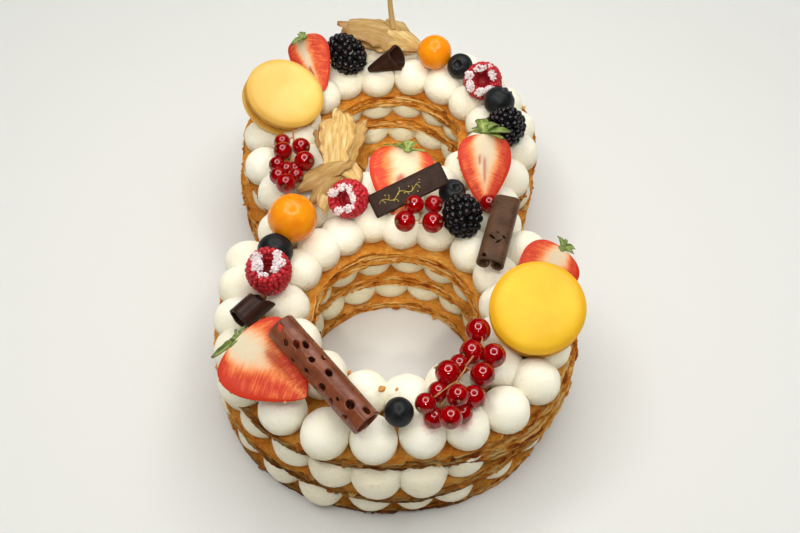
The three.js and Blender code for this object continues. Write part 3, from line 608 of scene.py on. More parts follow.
def rim_rows(points, out, z, seed, droop, shade):
    """Rows of points from the top of a sheet, down its laminated side, to its underside, with marks for
    painted shade in the gaps, at the front and underneath
    """
    flat = np.column_stack([points, np.zeros(len(points))])
    rows, marks = [], {"gap": [], "side": [], "tone": [], "shade": []}
    top = z + PASTRY_THICK + 0.5 * noise(flat, 30, seed + 1)
    puff = PASTRY_THICK * (1 + 0.16 * noise(flat, 22, seed))
    puff = puff + droop * (0.9 + 0.35 * noise(flat, 12, seed + 9))
    if z == 0:
        puff = np.minimum(puff, top - 0.3)

    def row(reach, height, **values):
        rows.append(np.column_stack([points + out * np.reshape(reach, (-1, 1)), height]))
        for mark, numbers in marks.items():
            numbers.append(np.broadcast_to(values.get(mark, 0.0), len(points)))

    for inward in TOP_ROWS:
        spot = np.column_stack([points - out * inward, np.full(len(points), z)])
        blister = 0.35 * noise(spot, 7, seed + 2) + 0.22 * noise(spot, 2.6, seed + 3)
        # painted shade: a little of the front's painted shade reaches the top near the edge
        row(-inward, top + blister - 0.25 / (inward + 0.4), shade=shade * 0.4 * max(1 - inward / 3, 0))
    for lamina in range(LAMINAE):
        level = np.column_stack([points, np.full(len(points), lamina * 40.0)])
        stand = 0.5 * broken(level, 9, seed + 4) + 0.4 * noise(level, 4, seed + 5)
        stand = stand + 0.3 * noise(level, 1, seed + 8) + (0.55 * droop - 0.5) * lamina / LAMINAE
        tone = 0.5 + 0.55 * noise(level, 8, seed + 11) + 0.3 * noise(level, 2.5, seed + 12)
        waver = 0.35 * noise(level, 10, seed + 6) + 0.12 * noise(level, 2.5, seed + 10)
        deep = 1.5 + 0.8 * noise(level, 4, seed + 7)
        for share, reach, gap in ((0.13, stand - deep, 1), (0.36, stand - 0.1, 0), (0.9, stand - 0.1, 0)):
            if lamina == 0 and gap == 1:
                reach, gap = stand - 0.3, 0
            height = top - puff * (lamina + share) / LAMINAE + (waver if lamina else 0)
            # painted shade: the front's painted shade grows towards the underside, and the deep row of each
            # gap is marked for darkening
            row(reach, height, gap=gap, side=1, tone=tone, shade=shade * (0.6 + 0.4 * lamina / LAMINAE))
    under = z if z == 0 else z - 0.2
    for inward in BOTTOM_ROWS:
        lift = np.maximum(top - puff, under) if inward < 2 else np.full(len(points), float(under))
        # painted shade: the underside is marked for the gaps' darkening and takes the front's full painted
        # shade
        row(-inward, lift, gap=0.4, side=0.6, tone=0.4, shade=shade)
    rows = np.stack(rows)
    rows[..., 2] = np.maximum(rows[..., 2], 0)
    return rows, {mark: np.stack(numbers).ravel() for mark, numbers in marks.items()}


def flake(shape, points, out, droop, shade, z, own):
    """A thin broken lamina that sticks out of the side, with a jagged edge"""
    at = chance(own + 0.2) * len(points)
    slack = droop[int(at)]
    length = 2.5 + 8 * chance(own + 0.3) ** 2
    level = z + PASTRY_THICK * 0.97 - (PASTRY_THICK * 0.85 + slack) * chance(own + 0.1)
    stand = 0.1 + (1.3 + 0.1 * slack) * chance(own + 0.4) ** 2
    curl = jitter(own + 0.5, 0.9)
    columns = max(int(length / 0.9), 6)
    share = np.linspace(0, 1, columns)
    index = (at + share * length / np.hypot(*(points[1] - points[0]))) % len(points)
    low = index.astype(int)
    part = (index - low)[:, None]
    after = (low + 1) % len(points)
    base = points[low] * (1 - part) + points[after] * part
    away = out[low] * (1 - part) + out[after] * part
    spots = np.column_stack([base, np.full(columns, own * 3.7)])
    width = np.sin(math.pi * (0.03 + 0.94 * share)) ** 0.35
    width = width * (0.75 + 0.45 * noise(spots, 1.5, own) + 0.3 * broken(spots, 2.8, own + 4))
    rows = []
    for reach in FLAKE_ROWS:
        forward = -1.8 + (stand + 1.8) * reach * np.maximum(width, 0.25)
        height = level + curl * reach ** 2 + 0.35 * noise(spots + reach * 2, 3, own + 1)
        rows.append(np.column_stack([base + away * forward[:, None], height]))
    grid = np.stack(rows)
    thick = np.broadcast_to(np.array(FLAKE_THICK)[:, None], grid.shape[:2])
    made, faces, _ = thin_sheet(grid, thick)
    made[:, 2] = np.maximum(made[:, 2], 0)
    # painted shade: a flake takes a random share of the front's painted shade, and a few are darkened at
    # random towards the gap colour
    shape.add(
        made, faces, side=0.8, tone=chance(own + 7), pale=0.6 * chance(own + 9) ** 3,
        gap=0.55 * chance(own + 8) ** 4, shade=shade[int(at)] * chance(own + 6),
    )


def outer_rim(name, z, grow, shift, front_droop):
    """The outline of a sheet, its way out, how far it droops, and how much painted shade it gets at the
    front
    """
    points, _ = outline_rim(grow, OUTLINE_POINTS, -90)
    points = narrowed(to_front_radii(points + np.array(shift), name))
    angle = np.degrees(np.arctan2(points[:, 1] - LOWER["y"], points[:, 0] - LOWER["x"]))
    loose = smooth_step(angle, -78, -50) * (1 - smooth_step(angle, 0, 30)) * (points[:, 1] < 0)
    out = way_out(points)
    # painted shade: outer sides facing the front of the lower loop are darkened, less where laminae hang
    # loose and less on higher sheets
    front = smooth_step(-out[:, 1], 0.15, 0.8) * (points[:, 1] < -40) * (1 - 0.7 * loose)
    return points, out, 0.3 + front_droop * loose, front * (0.9 - 0.2 * z / DECK)


def inner_rim(loop, count, seed, shift, lip, droop, spill):
    """The rim of a sheet round one hole; at the upper hole some of it may spill in at the left"""
    points, out = hole_rim(loop["hole"], -lip, count, 90)
    if loop is UPPER:
        angle = np.degrees(np.arctan2(-out[:, 1], -out[:, 0]))
        share = smooth_step(angle, 95, 130) * (1 - smooth_step(angle, 150, 178))
        ragged = 1 + 0.25 * broken(np.column_stack([points, points[:, 0]]), 4, seed)
        points = points + out * (spill * share * ragged)[:, None]
    return points + np.array(shift), out, np.full(count, droop), np.zeros(count)


def fill_between(shape, loops, upward):
    """Closes the flat face between loops, each a first point's number and its points"""
    found = geometry.tessellate_polygon([[tuple(p) for p in loop] for _, loop in loops])
    where = np.concatenate([first + np.arange(len(loop)) for first, loop in loops])
    spots = np.concatenate([loop for _, loop in loops])
    faces = []
    for a, b, c in found:
        one, two = spots[b] - spots[a], spots[c] - spots[a]
        up = one[0] * two[1] - one[1] * two[0] > 0
        faces.append([a, b, c] if up == upward else [a, c, b])
    shape.faces.extend(where[np.array(faces)].tolist())


def pastry(name, seed, z, grow, shift, lip, droop, spill=0):
    """A sheet of puff pastry with laminated sides and loose flakes"""
    inner_droop, front_droop = droop
    rims = [outer_rim(name, z, grow, shift, front_droop)]
    rims += [inner_rim(loop, count, seed, shift, lip, inner_droop, spill) for loop, count in HOLE_POINTS]
    shape = Shape()
    top, underside = [], []
    for number, (points, out, sag, shade) in enumerate(rims):
        rows, marks = rim_rows(points, out, z, seed * 10 + number, sag, shade)
        top.append((shape.count, rows[0]))
        underside.append((shape.count + (len(rows) - 1) * len(points), rows[-1]))
        shape.add(rows, [ring_faces(len(rows), len(points))[:, ::-1]], pale=0, **marks)
    fill_between(shape, top, True)
    fill_between(shape, underside, False)
    for number, rim in enumerate(rims):
        for i in range(round(len(rim[0]) / FLAKE_EVERY)):
            flake(shape, *rim, z, seed * 1000 + number * 300 + i)
    make(name + "_baked", shape, PASTRY, [name])


# Sections of a ball of cream: radius and height; and its rows and columns of points
BALL_PROFILE = (
    (0, 0), (0.62, 0), (0.88, 0.1), (0.985, 0.28), (1, 0.44), (0.95, 0.62), (0.8, 0.79), (0.55, 0.92),
    (0.28, 0.985), (0, 1),
)
SQUASHED_PROFILE = (
    (0, -1), (0.6, -1), (0.84, -0.84), (0.96, -0.45), (1, 0), (0.96, 0.45), (0.84, 0.84), (0.6, 1), (0, 1),
)
BALL_GRID = (17, 29)


def ball(shape, profile, at, sizes, facing, seed, inner=0.0):
    """A piped ball of cream, a little uneven"""
    rows, columns = BALL_GRID
    points, faces = lathe(rounded(profile, rows), columns)
    lumps = 1 + 0.04 * noise(points * 10 + seed * 31, 9, seed) + 0.016 * noise(points * 10, 3, seed + 1)
    share = (points[:, 2] - profile[0][1]) / (profile[-1][1] - profile[0][1])
    points = points * np.array(sizes) * lumps[:, None]
    points = placed(points, at, turn=math.degrees(facing))
    stain = np.zeros(len(points))
    for *spot, reach in STAINS:
        far = np.linalg.norm(points - spot, axis=1)
        stain = np.maximum(stain, 1 - smooth_step(far, reach * 0.3, reach))
    # painted shade: the foot mark tints the low part of each ball yellower; it also places the pits and
    # bubbly grain
    foot = 1 - smooth_step(share, 0.1, 0.65)
    # painted shade: squashed balls between the sheets are tinted at least this much
    if profile is SQUASHED_PROFILE:
        foot = np.maximum(foot, 0.4)
    shape.add(points, faces, foot=foot, inner=inner, stain=stain)


def cream_between(name, seed, z, starts, grow, angles):
    """Balls of cream squashed between two sheets"""
    shape = Shape()
    tall = (LAYER_PITCH - PASTRY_THICK) / 2
    counts = balls_in_rows()
    rims = [
        outline_rim(-BALL_INSET + grow, counts[0] * 2, starts[0]),
        hole_rim(LOWER["hole"], BALL_INSET, counts[1] * 2, starts[1]),
        hole_rim(UPPER["hole"], BALL_INSET, counts[2] * 2, starts[2]),
    ]
    for r, (points, out) in enumerate(rims):
        middles = points[1::2]
        if r == 0:
            middles = narrowed(to_front_radii(to_angles(middles, angles), name))
        for i, ((x, y), away) in enumerate(zip(middles, out[1::2])):
            size = BALL_ALONG + 0.6 + jitter(seed + r * 51 + i, 0.7)
            sizes, facing = (size, size, tall + 0.5), math.atan2(away[1], away[0])
            own = seed * 97 + r * 31 + i
            # painted light: balls round the holes (r > 0) are marked for the lighter warm tint
            ball(shape, SQUASHED_PROFILE, (x, y, z + tall), sizes, facing, own, inner=r > 0)
    make(name + "_balls", shape, CREAM, [name])


def balls_in_rows():
    """How many balls stand round the outline and round each hole"""
    counts = [round(outline_length(-BALL_INSET) / BALL_PITCH)]
    for loop in (LOWER, UPPER):
        counts.append(round(TURN * (loop["hole"][2] + BALL_INSET) / BALL_PITCH))
    return counts


def cream_on_top(name):
    """The balls on the top sheet: a row round the outside, one round each hole, and lone ones"""
    shape = Shape()
    counts = balls_in_rows()
    outer, away = outline_rim(-BALL_INSET, counts[0], TOP_START["outer"])
    outer = outer - away * (UPPER_ROW_IN * smooth_step(outer[:, 1], -20, 15))[:, None]
    rows = {
        "outer": (outer, away, 11),
        "lower": (*hole_rim(LOWER["hole"], BALL_INSET - 1, counts[1], TOP_START["lower"]), 211),
        "upper": (*hole_rim(UPPER["hole"], BALL_INSET - 1, counts[2], TOP_START["upper"]), 411),
    }
    low = DECK - 0.4
    for row, (points, out, seed) in rows.items():
        for i, (point, way) in enumerate(zip(points, out)):
            x, y = point + MOVED_BALLS[row].get(i, (0, 0))
            across = BALL_ACROSS + jitter(seed + i * 1.7, 0.35)
            along = BALL_ALONG + jitter(seed + i * 2.3, 0.35)
            tall = CREAM_TOP + jitter(seed + i * 3.9, 0.5)
            facing = math.atan2(way[1], way[0])
            ball(shape, BALL_PROFILE, (x, y, low), (across, along, tall), facing, seed + i)
    for i, (x, y, size) in enumerate(LONE_BALLS):
        ball(shape, BALL_PROFILE, (x, y, low), (size, size, CREAM_TOP - 1), 0, 700 + i)
    make(name + "_balls", shape, CREAM, [name])


# Toppings. A flat one lies with its face towards +Z and its long axis along Y before it is
# turned, leant and moved; "at" is its middle.
# Strawberries: length, width and depth; the white core's width, taper, where it fades and ends,
# and its bend; hollows' places and half sizes; the crown's place; and for each leaf its
# direction, length, width and rise
STRAWBERRIES = {
    "strawberry_front": {
        "place": {"at": (-47, -103.4, 65.6), "turn": 50, "lean": 20}, "size": (37, 36, 13), "seed": 3,
        "core": (0.5, 1.3, 0.15, 0.65, -0.05), "hollows": ((0.5, 0.2, 0.17, 0.12), (0.68, 0.2, 0.12, 0.07)),
        "crown": (0, 17.5, -1),
        "leaves": (
            (148, 15, 3.3, 0.4), (8, 7, 0.7, 2.5), (52, 7.5, 0.6, 3), (95, 5, 1.6, 2), (178, 6, 1.2, 1),
        ),
    },
    "strawberry_right": {
        "place": {"at": (42.3, 8.5, 65), "turn": 0, "lean": 34}, "size": (34, 25, 10), "seed": 10,
        "core": (0.46, 0.7, 0.35, 1, 0), "hollows": ((0.5, 0.02, 0.2, 0.07), (0.36, -0.2, 0.08, 0.04)),
        "crown": (0, 17.8, -1),
        "leaves": (
            (101, 10.5, 3, 3.5), (-12, 13.5, 3.1, 1.5), (42, 9, 2.3, 3), (190, 8, 1.3, 0.8),
            (-34, 13, 1.5, 0.3), (148, 6.5, 1.9, 1.5),
        ),
    },
    "strawberry_centre": {
        "place": {"at": (3.5, 3, 63), "turn": -6, "lean": 30}, "size": (34, 30, 10), "seed": 21,
        "core": (0.5, 0.5, 0.5, 1.0, 0.2), "hollows": ((0.5, 0.02, 0.12, 0.16),),
        "crown": (2, 14.5, 2.2),
        "leaves": (
            (66, 6.5, 2.5, 3), (133, 5, 1.8, 3), (172, 12.5, 0.8, 1.5), (-14, 10, 1, 1), (160, 8, 1, 2),
        ),
    },
    "strawberry_back": {
        "place": {"at": (-40.3, 86.2, 65), "turn": 22, "lean": 40}, "size": (30, 21, 9), "seed": 32,
        "core": (0.3, 0.6, 0.5, 1.0, -0.3), "hollows": ((0.62, -0.3, 0.1, 0.1),),
        "crown": (0.2, 13.6, 2.2),
        "leaves": ((215, 9, 2, 0.5), (120, 4.5, 1.4, 1.5), (60, 4, 1, 1)),
    },
    "strawberry_side": {
        "place": {"at": (63.2, -54, 62), "turn": -40, "lean": 30}, "size": (32, 26, 9), "seed": 44,
        "core": (0.4, 1.0, 0.25, 0.7, 0), "hollows": (),
        "crown": (-1, 15.5, -0.5),
        "leaves": ((60, 8, 1.8, 2), (130, 7, 1.4, 2.5), (15, 6, 1.2, 1.5), (100, 7.5, 0.8, 3)),
    },
}
# How far the crowns lean back, how thick their leaves are, and the seeds of one strawberry
CROWN_LEAN = math.degrees(-0.9)
LEAF_THICK = 0.42
SEED_COUNT = 70
# Points of a half: from stalk end to tip, across its cut face and round its back; and of a leaf:
# along it and across it
STRAWBERRY_GRID = (54, 34, 22)
LEAF_GRID = (15, 9)

# Brambles: width and length; the radius of their beads and how many rows of them
BRAMBLES = {
    "bramble_back": {"place": {"at": (-24.2, 96.8, 62.5), "turn": 40, "lean": 15}, "size": (19, 24.5)},
    "bramble_right": {"place": {"at": (54, 41.4, 62), "turn": -40, "lean": 10}, "size": (19, 21.5)},
    "bramble_centre": {"place": {"at": (31.3, -17.6, 62), "turn": 10, "lean": 35}, "size": (17.8, 20.8)},
}
BRAMBLE_BEAD = 1.95
BRAMBLE_ROWS = 9

# Raspberries: width and length; heaps of sugar: place and half sizes
RASPBERRIES = {
    "raspberry_back": {
        "place": {"at": (45.6, 76.6, 61), "lean": 42, "side": -18}, "size": (18.5, 15),
        "sugar": (
            (-5.4, 3.4, 7.4, 2.6, 2.4), (-6, -2, 7.6, 2.2, 3.2), (-2, -6, 7.8, 2.8, 2),
            (3, -5.4, 7.6, 2.6, 1.9), (0.6, 5.6, 7.4, 3.4, 2), (5.8, 0.6, 7.5, 2.1, 2.8),
            (5, 5.2, 6.8, 1.6, 1.4),
        ),
    },
    "raspberry_centre": {
        "place": {"at": (-18.8, -5.4, 60.4), "lean": 41, "side": -26}, "size": (17.5, 17),
        "sugar": (
            (-3.8, 4, 8.5, 2.8, 1.9), (0.8, 5, 8.4, 2.6, 1.8), (4, 2.6, 8.4, 1.8, 2.6),
            (4.4, -1.6, 8.3, 1.7, 2.2), (0.8, -5, 8.5, 3, 1.8), (-3.8, -4.6, 8.5, 2.4, 1.9),
        ),
    },
    "raspberry_left": {
        "place": {"at": (-51.8, -53, 63), "lean": 14}, "size": (19, 18),
        "sugar": (
            (-5, 3.4, 8.6, 2.6, 2.6), (-4.2, -0.6, 8.9, 2.6, 3.2), (-2, -5, 8.6, 2.6, 1.5),
            (4, 4.4, 8.7, 2, 2.4), (4.6, 0.8, 9, 3, 2.6), (3.4, -2.4, 8.8, 2, 1.8),
            (-6.8, 1.4, 7.4, 1.4, 2.4),
        ),
    },
}

# Blueberries: width and height; physalis berries: width
BLUEBERRIES = {
    "blueberry_back": {"place": {"at": (34.2, 90, 60), "lean": 40, "side": -20}, "size": (13, 12.2)},
    "blueberry_right": {"place": {"at": (52.3, 60.4, 61.5), "lean": -20, "side": 30}, "size": (15.3, 14.2)},
    "blueberry_left": {"place": {"at": (-51, -36.3, 59.4), "lean": 55}, "size": (15.4, 12.6)},
    "blueberry_centre": {"place": {"at": (27.4, 0.4, 58.5), "lean": 20, "side": 20}, "size": (12.5, 12)},
    "blueberry_front": {"place": {"at": (3.1, -120.7, 60), "lean": -110, "side": 20}, "size": (11.6, 12)},
}
PHYSALIS = {
    "physalis_back": {"at": (21.3, 97.8, 62.8), "width": 17.6},
    "physalis_left": {"at": (-43.9, -22.4, 65.5), "width": 21.8},
}

# Bunches of currants: the two ends of the stalk, and the middle and radius of each berry
CURRANTS = {
    "currants_left": {
        "stalk": ((-47, 38, 63), (-48, 6, 61)),
        "berries": (
            (-52.7, 33, 60, 3.9), (-43.4, 28.5, 61, 4.4), (-51.6, 23.5, 63, 4.4), (-41.1, 17.7, 62, 4.8),
            (-53.9, 17.2, 60, 4), (-49.4, 14, 60, 3.8), (-52.6, 8.2, 61.5, 4.2), (-44.5, 10, 60, 3.6),
            (-48.8, 2.8, 62, 4.7), (-45.6, 15.6, 58.6, 3.9),
        ),
    },
    "currants_centre": {
        "stalk": ((13.5, -9.5, 63), (12, -20, 59)),
        "berries": (
            (9.9, -13, 64.4, 4.3), (18.7, -10.4, 61.8, 4.2), (5.7, -19.7, 60.5, 4.8),
            (18.1, -20.3, 60.5, 4.9),
        ),
    },
    "currants_front": {
        "stalk": ((37, -88, 64), (26, -108, 63)),
        "berries": (
            (35.3, -82.3, 62, 5.2), (32.4, -92.4, 61, 5.1), (41, -94.2, 61, 5), (36.1, -104.2, 62, 5),
            (22.5, -103.4, 62, 5.2), (27.3, -97.5, 59.5, 4.3), (18.6, -110.1, 58.6, 4.3),
            (25.8, -115.6, 64, 4.6), (32.4, -113.4, 60, 4.7), (13.4, -117.5, 61.4, 4.3),
            (22.8, -125.2, 63.5, 4.6), (16.8, -120.5, 56, 4.3), (27.8, -119.3, 57.5, 4),
        ),
    },
    "currant_single": {"stalk": (), "berries": ((44, -5.8, 57.6, 4.4),)},
}

# Macarons: height in all, of the filling and of a foot; width, and depth as a share of it
MACARON = {"tall": 17, "filling": 2.4, "foot": 2.4}
# Points of the section of a shell and of the filling, and round each
SHELL_GRID = (49, 110)
FILLING_GRID = (25, 90)
MACARONS = {
    "macaron_back": {
        "place": {"at": (-53.8, 59.6, 65), "lean": 24, "side": 22}, "width": 38.6, "oval": 0.91,
    },
    "macaron_front": {
        "place": {"at": (59.7, -74.2, 65.3), "lean": 30, "side": -5}, "width": 39.2, "oval": 0.98,
    },
}

# Places of the pieces of chocolate
CHOCOLATES = {
    "chocolate_roll": {"at": (-26.6, -108.8, 68.6), "turn": 43.5, "lean": 14, "side": 7},
    "chocolate_tube": {"at": (47, -27, 61.5), "turn": -14.5},
    "chocolate_curl_left": {"at": (-57.8, -70.2, 61.5), "turn": -42, "lean": 8},
    "chocolate_curl_back": {"at": (-4.6, 89.6, 62), "turn": -126, "lean": -72},
    "chocolate_plaque": {"at": (7.2, -4.4, 65), "turn": 25.8, "lean": 46},
}
# How the roll and the curl at the left are rolled up, the tube's width, and the length of each
ROLL = {"radius": 6.5, "wall": 1.0, "turns": 1.06, "gap": 0.1, "sides": 8, "start": 0.6}
CURL = {"radius": 6.25, "wall": 1.1, "turns": 1.3, "gap": 0.8}
TUBE_WIDTH = 12.7
ROLL_LENGTH, TUBE_LENGTH, CURL_LENGTH = 52, 40, 17

# Petals of the dry husks: root, tip, width, how high they arch and how far their sides curl up
HUSKS = {
    "husk_back": {
        "petals": (
            ((14.5, 107, 59), (-28.5, 115.5, 65), 17, 5, -4), ((10, 112, 60), (-27, 119, 66), 12, 5, -3),
            ((15, 105.5, 58), (-22, 110, 61), 12, 4, -3), ((-8, 116, 67), (15.5, 106.5, 60), 14, 2, -4),
            ((-4, 117.5, 68), (9, 113.5, 62.5), 10, 1.5, -2), ((12, 105, 58), (-8, 106, 61), 9, 3, -2),
        ),
        "stalk": ((0, 112.5, 66), (-1, 117, 72), (-2, 122.5, 80)),
    },
    "husk_left": {
        "petals": (
            ((-27, 13.5, 57), (-24.5, 49, 65), 17, 4, 2.5), ((-30, 17, 56.5), (-31.5, 45.5, 62), 9, 2, 2),
            ((-22, 15, 57), (-13.2, 48, 60.5), 8, 3, 2), ((-23, 19, 59), (-37, 40, 60), 11, 4, -2),
            ((-19.5, 20.5, 60), (-43.5, 2, 58.5), 12.5, 4, -3),
            ((-23, 14, 58), (-37, -4.5, 57.5), 10, 3, -2), ((-25, 13, 58), (-31.5, -11.5, 57), 8.5, 2, 2),
            ((-25.5, 22, 57), (-15.5, 9, 56), 9, 2.5, 1.5),
        ),
    },
}

# How thick the petals are, their points along and across, and the stalk's radii at root and end
HUSK_THICK = 0.22
PETAL_GRID = (42, 30)
HUSK_STALK = (1.7, 1.2)

# Small loose bits: place and length
CRUMBS = (
    (-3.6, -107.4, 56.6, 3.4), (2.3, -107.4, 56.4, 1.6), (-11.7, -14.9, 41.6, 2.6),
    (37.7, -79.6, 50.5, 1.8), (19.2, -114.1, 56.5, 1.5), (-14, -108.5, 56.3, 1.2), (-36, -64, 47, 1.6),
    (36.5, -33, 50, 1.4),
)
CHIPS = ((15.9, 1.3, 56.6, 2.2), (-16.5, -109.5, 56.2, 1.2))
SHARDS = ((0.3, -9.9, 57.3, 2.4), (-30.7, -71.4, 46, 1.8), (-63, -78, 55.5, 1.4))


def fullness(share):
    """How full a strawberry is, from its stalk end at 0 to its tip at 1"""
    return np.sin(math.pi * share ** 0.55) ** 0.7


def strawberry(name, place, size, seed, core, hollows, crown, leaves):
    """Half a strawberry with its seeds and its crown of leaves"""
    strawberry_half(name, place, size, seed, core, hollows)
    strawberry_seeds(name, place, size, seed)
    strawberry_crown(name, place, seed, crown, leaves)


def strawberry_half(name, place, size, seed, core, hollows):
    """Half a strawberry, its flat cut face up, with marks of its flesh, rim and hollows"""
    length, width, depth = size
    rows, ahead, behind = STRAWBERRY_GRID
    front = np.linspace(0, math.pi, ahead, endpoint=False)
    back = np.linspace(math.pi, TURN, behind, endpoint=False)
    share = (1 - np.cos(np.linspace(0.11, math.pi - 0.12, rows))) / 2
    share, angle = np.meshgrid(share, np.concatenate([front, back]), indexing="ij")
    full = fullness(share)
    lateral, rise = np.cos(angle), np.sin(angle)
    face = rise >= -1e-6
    flat = np.stack([share * 9, np.sign(lateral) * 4, share * 0], -1).reshape(-1, 3)
    half = width / 2 * full * (1 + 0.035 * noise(flat, 2.2, seed)).reshape(share.shape)
    x, y = half * lateral, length * (0.5 - share)
    cut = 0.7 * full * np.maximum(rise, 0) ** 1.5 - 0.5 * abs(lateral) ** 8

    wide, taper, fade, end, bend = core
    off = abs(lateral - bend * (1 - abs(lateral)))
    reach = wide * (1 - share) ** taper
    flesh = (1 - smooth_step(off, reach - 0.32, reach + 0.34)) * (1 - 0.75 * smooth_step(share, fade, end))
    hollow = np.zeros(share.shape)
    for along, side, long, broad in hollows:
        spot = np.hypot((share - along) / long, (lateral - side) / broad)
        hollow = np.maximum(hollow, 1 - smooth_step(spot, 0.6, 1.15))
    z = np.where(face, cut - 1.1 * hollow * full, depth * full * rise)

    stalk_end, tip = (0, length / 2 - 0.02 * length, -depth * 0.2), (0, -length / 2, -depth * 0.08)
    points, faces = closed_rings(np.stack([x, y, z], -1), stalk_end, tip)
    grids = {
        "face": np.ones(share.shape), "flesh": flesh, "rim": 1 - smooth_step(1 - abs(lateral), 0.02, 0.16),
        "hollow": hollow, "sweep": y + 0.45 * np.sqrt(x * x + 6) + seed * 9, "out": np.sqrt(x * x + 1),
        "side": smooth_step(x, -4, 4),
    }
    marks = {mark: np.append(np.where(face, grid, 0), (0, 0)) for mark, grid in grids.items()}
    marks["flesh"][-2] = 0.6  # the pole at the stalk end
    make_one(name + "_half", placed(points, **place), faces, STRAWBERRY, "strawberry", [name], **marks)


def strawberry_seeds(name, place, size, seed):
    """Seeds spread over the round side"""
    length, width, depth = size
    shape = Shape()
    bead, faces = globe(7, 5)
    for i in range(SEED_COUNT):
        along = 0.06 + 0.88 * (i + 0.5) / SEED_COUNT
        around = math.pi + math.pi * ((i * 0.61803 + 0.37 * seed) % 1)
        if math.pi + 0.12 < around < TURN - 0.12:
            full = fullness(along)
            x, y = width / 2 * full * math.cos(around), length * (0.5 - along)
            spot = (x, y, depth * full * math.sin(around))
            shape.add(placed(bead * (0.45, 0.75, 0.45) + spot, **place), faces)
    make(name + "_seeds", shape, SEEDS)


def strawberry_crown(name, place, seed, crown, leaves):
    """The leaves round the stalk end, and the knob that they grow from"""
    shape = Shape()
    tilt = spin(lean=CROWN_LEAN).T
    for i, (direction, reach, broad, rise) in enumerate(leaves):
        grid, tip = leaf_grid(direction, reach, broad, rise, seed + i)
        local, faces, used = thin_sheet(grid, LEAF_THICK)
        vein = np.broadcast_to(1 - np.clip(abs(np.linspace(-1, 1, grid.shape[1])) * 3, 0, 1), tip.shape)
        points = placed(local @ tilt + np.array(crown), **place)
        shape.add(points, faces, tip=tip.ravel()[used], vein=vein.ravel()[used])
    knob, faces = globe(14, 8)
    knob = knob * (2.2, 1.6, 1.1) * (1 + 0.2 * noise(knob * 5, 3, seed))[:, None]
    shape.add(placed(knob @ tilt + np.array(crown), **place), faces, tip=0.1, vein=0.3)
    make(name + "_crown", shape, LEAF, [name + "_leaves"])


def leaf_grid(direction, reach, broad, rise, seed):
    """A narrow leaf from the crown outwards: cupped across, arched and curled at its tip"""
    rows, columns = LEAF_GRID
    t, s = np.meshgrid(np.linspace(0, 1, rows), np.linspace(-1, 1, columns), indexing="ij")
    wide = broad * np.sin(math.pi * (0.14 + 0.86 * t) ** 1.1) ** 0.75
    spots = np.stack([t * 6, s, 0 * t], -1).reshape(-1, 3)
    edge = 1 + 0.2 * noise(spots, 1.1, seed).reshape(t.shape) * abs(s)
    sway = jitter(seed * 1.3, 0.16) * reach * t ** 2
    z = rise * np.sin(t * 2.3) * (1 - 0.25 * t) + 0.4 * broad * s ** 2 * (1 - t * 0.5)
    z += 0.25 * noise(spots, 1.7, seed + 5).reshape(t.shape)
    along, side = reach * t * (1 - 0.08 * t), wide * s * edge + sway
    a = math.radians(direction)
    x, y = along * math.cos(a) - side * math.sin(a), along * math.sin(a) + side * math.cos(a)
    return np.stack([x, y, z], -1), t


def bramble(name, place, size):
    """A bramble: rows of glossy beads round a dark core"""
    shape = Shape()
    width, length = size
    bead, faces = globe(12, 8)
    a, b = width / 2 - BRAMBLE_BEAD * 0.75, length / 2 - BRAMBLE_BEAD * 0.75
    core, core_faces = globe(20, 12)
    shape.add(placed(core * (a, a, b * 0.98) @ spin(lean=90).T, **place), core_faces, bead=0)
    for row in range(BRAMBLE_ROWS):
        polar = math.pi * (row + 0.5) / BRAMBLE_ROWS
        across = max(round(TURN * a * math.sin(polar) / (BRAMBLE_BEAD * 1.72)), 1)
        for i in range(across):
            own = row * 31 + i + width
            around = TURN * (i + 0.5 * (row % 2)) / across + jitter(own, 0.09)
            lift = polar + jitter(own + 0.5, 0.045)
            x, z = math.sin(lift) * math.cos(around), math.sin(lift) * math.sin(around)
            spot = np.array([x, math.cos(lift), z]) * (a, b, a)
            grown = BRAMBLE_BEAD * (1 + jitter(own + 0.7, 0.09)) * (0.85 + 0.15 * math.sin(polar))
            shape.add(placed(bead * grown * (1, 1, 0.96) + spot, **place), faces, bead=chance(own + 0.9))
    make(name + "_beads", shape, BRAMBLE, [name])


# Sections of a raspberry as shares of its width and length, the radius of its beads, and the
# rings of beads inside: how far out, how high and how large
RASPBERRY_OUTSIDE = ((0.02, -0.5), (0.26, -0.42), (0.42, -0.15), (0.49, 0.2), (0.42, 0.47))
RASPBERRY_HOLLOW = ((0.42, 0.44), (0.3, 0.47), (0.22, 0.3), (0.17, 0.05), (0, -0.05))
RASPBERRY_BEAD = 1.25
RASPBERRY_RINGS = ((0.33, 0.47, 1.3), (0.25, 0.33, 1.05), (0.21, 0.16, 0.9))
# Points of its section outside and inside, and round it
RASPBERRY_GRID = (30, 14, 36)


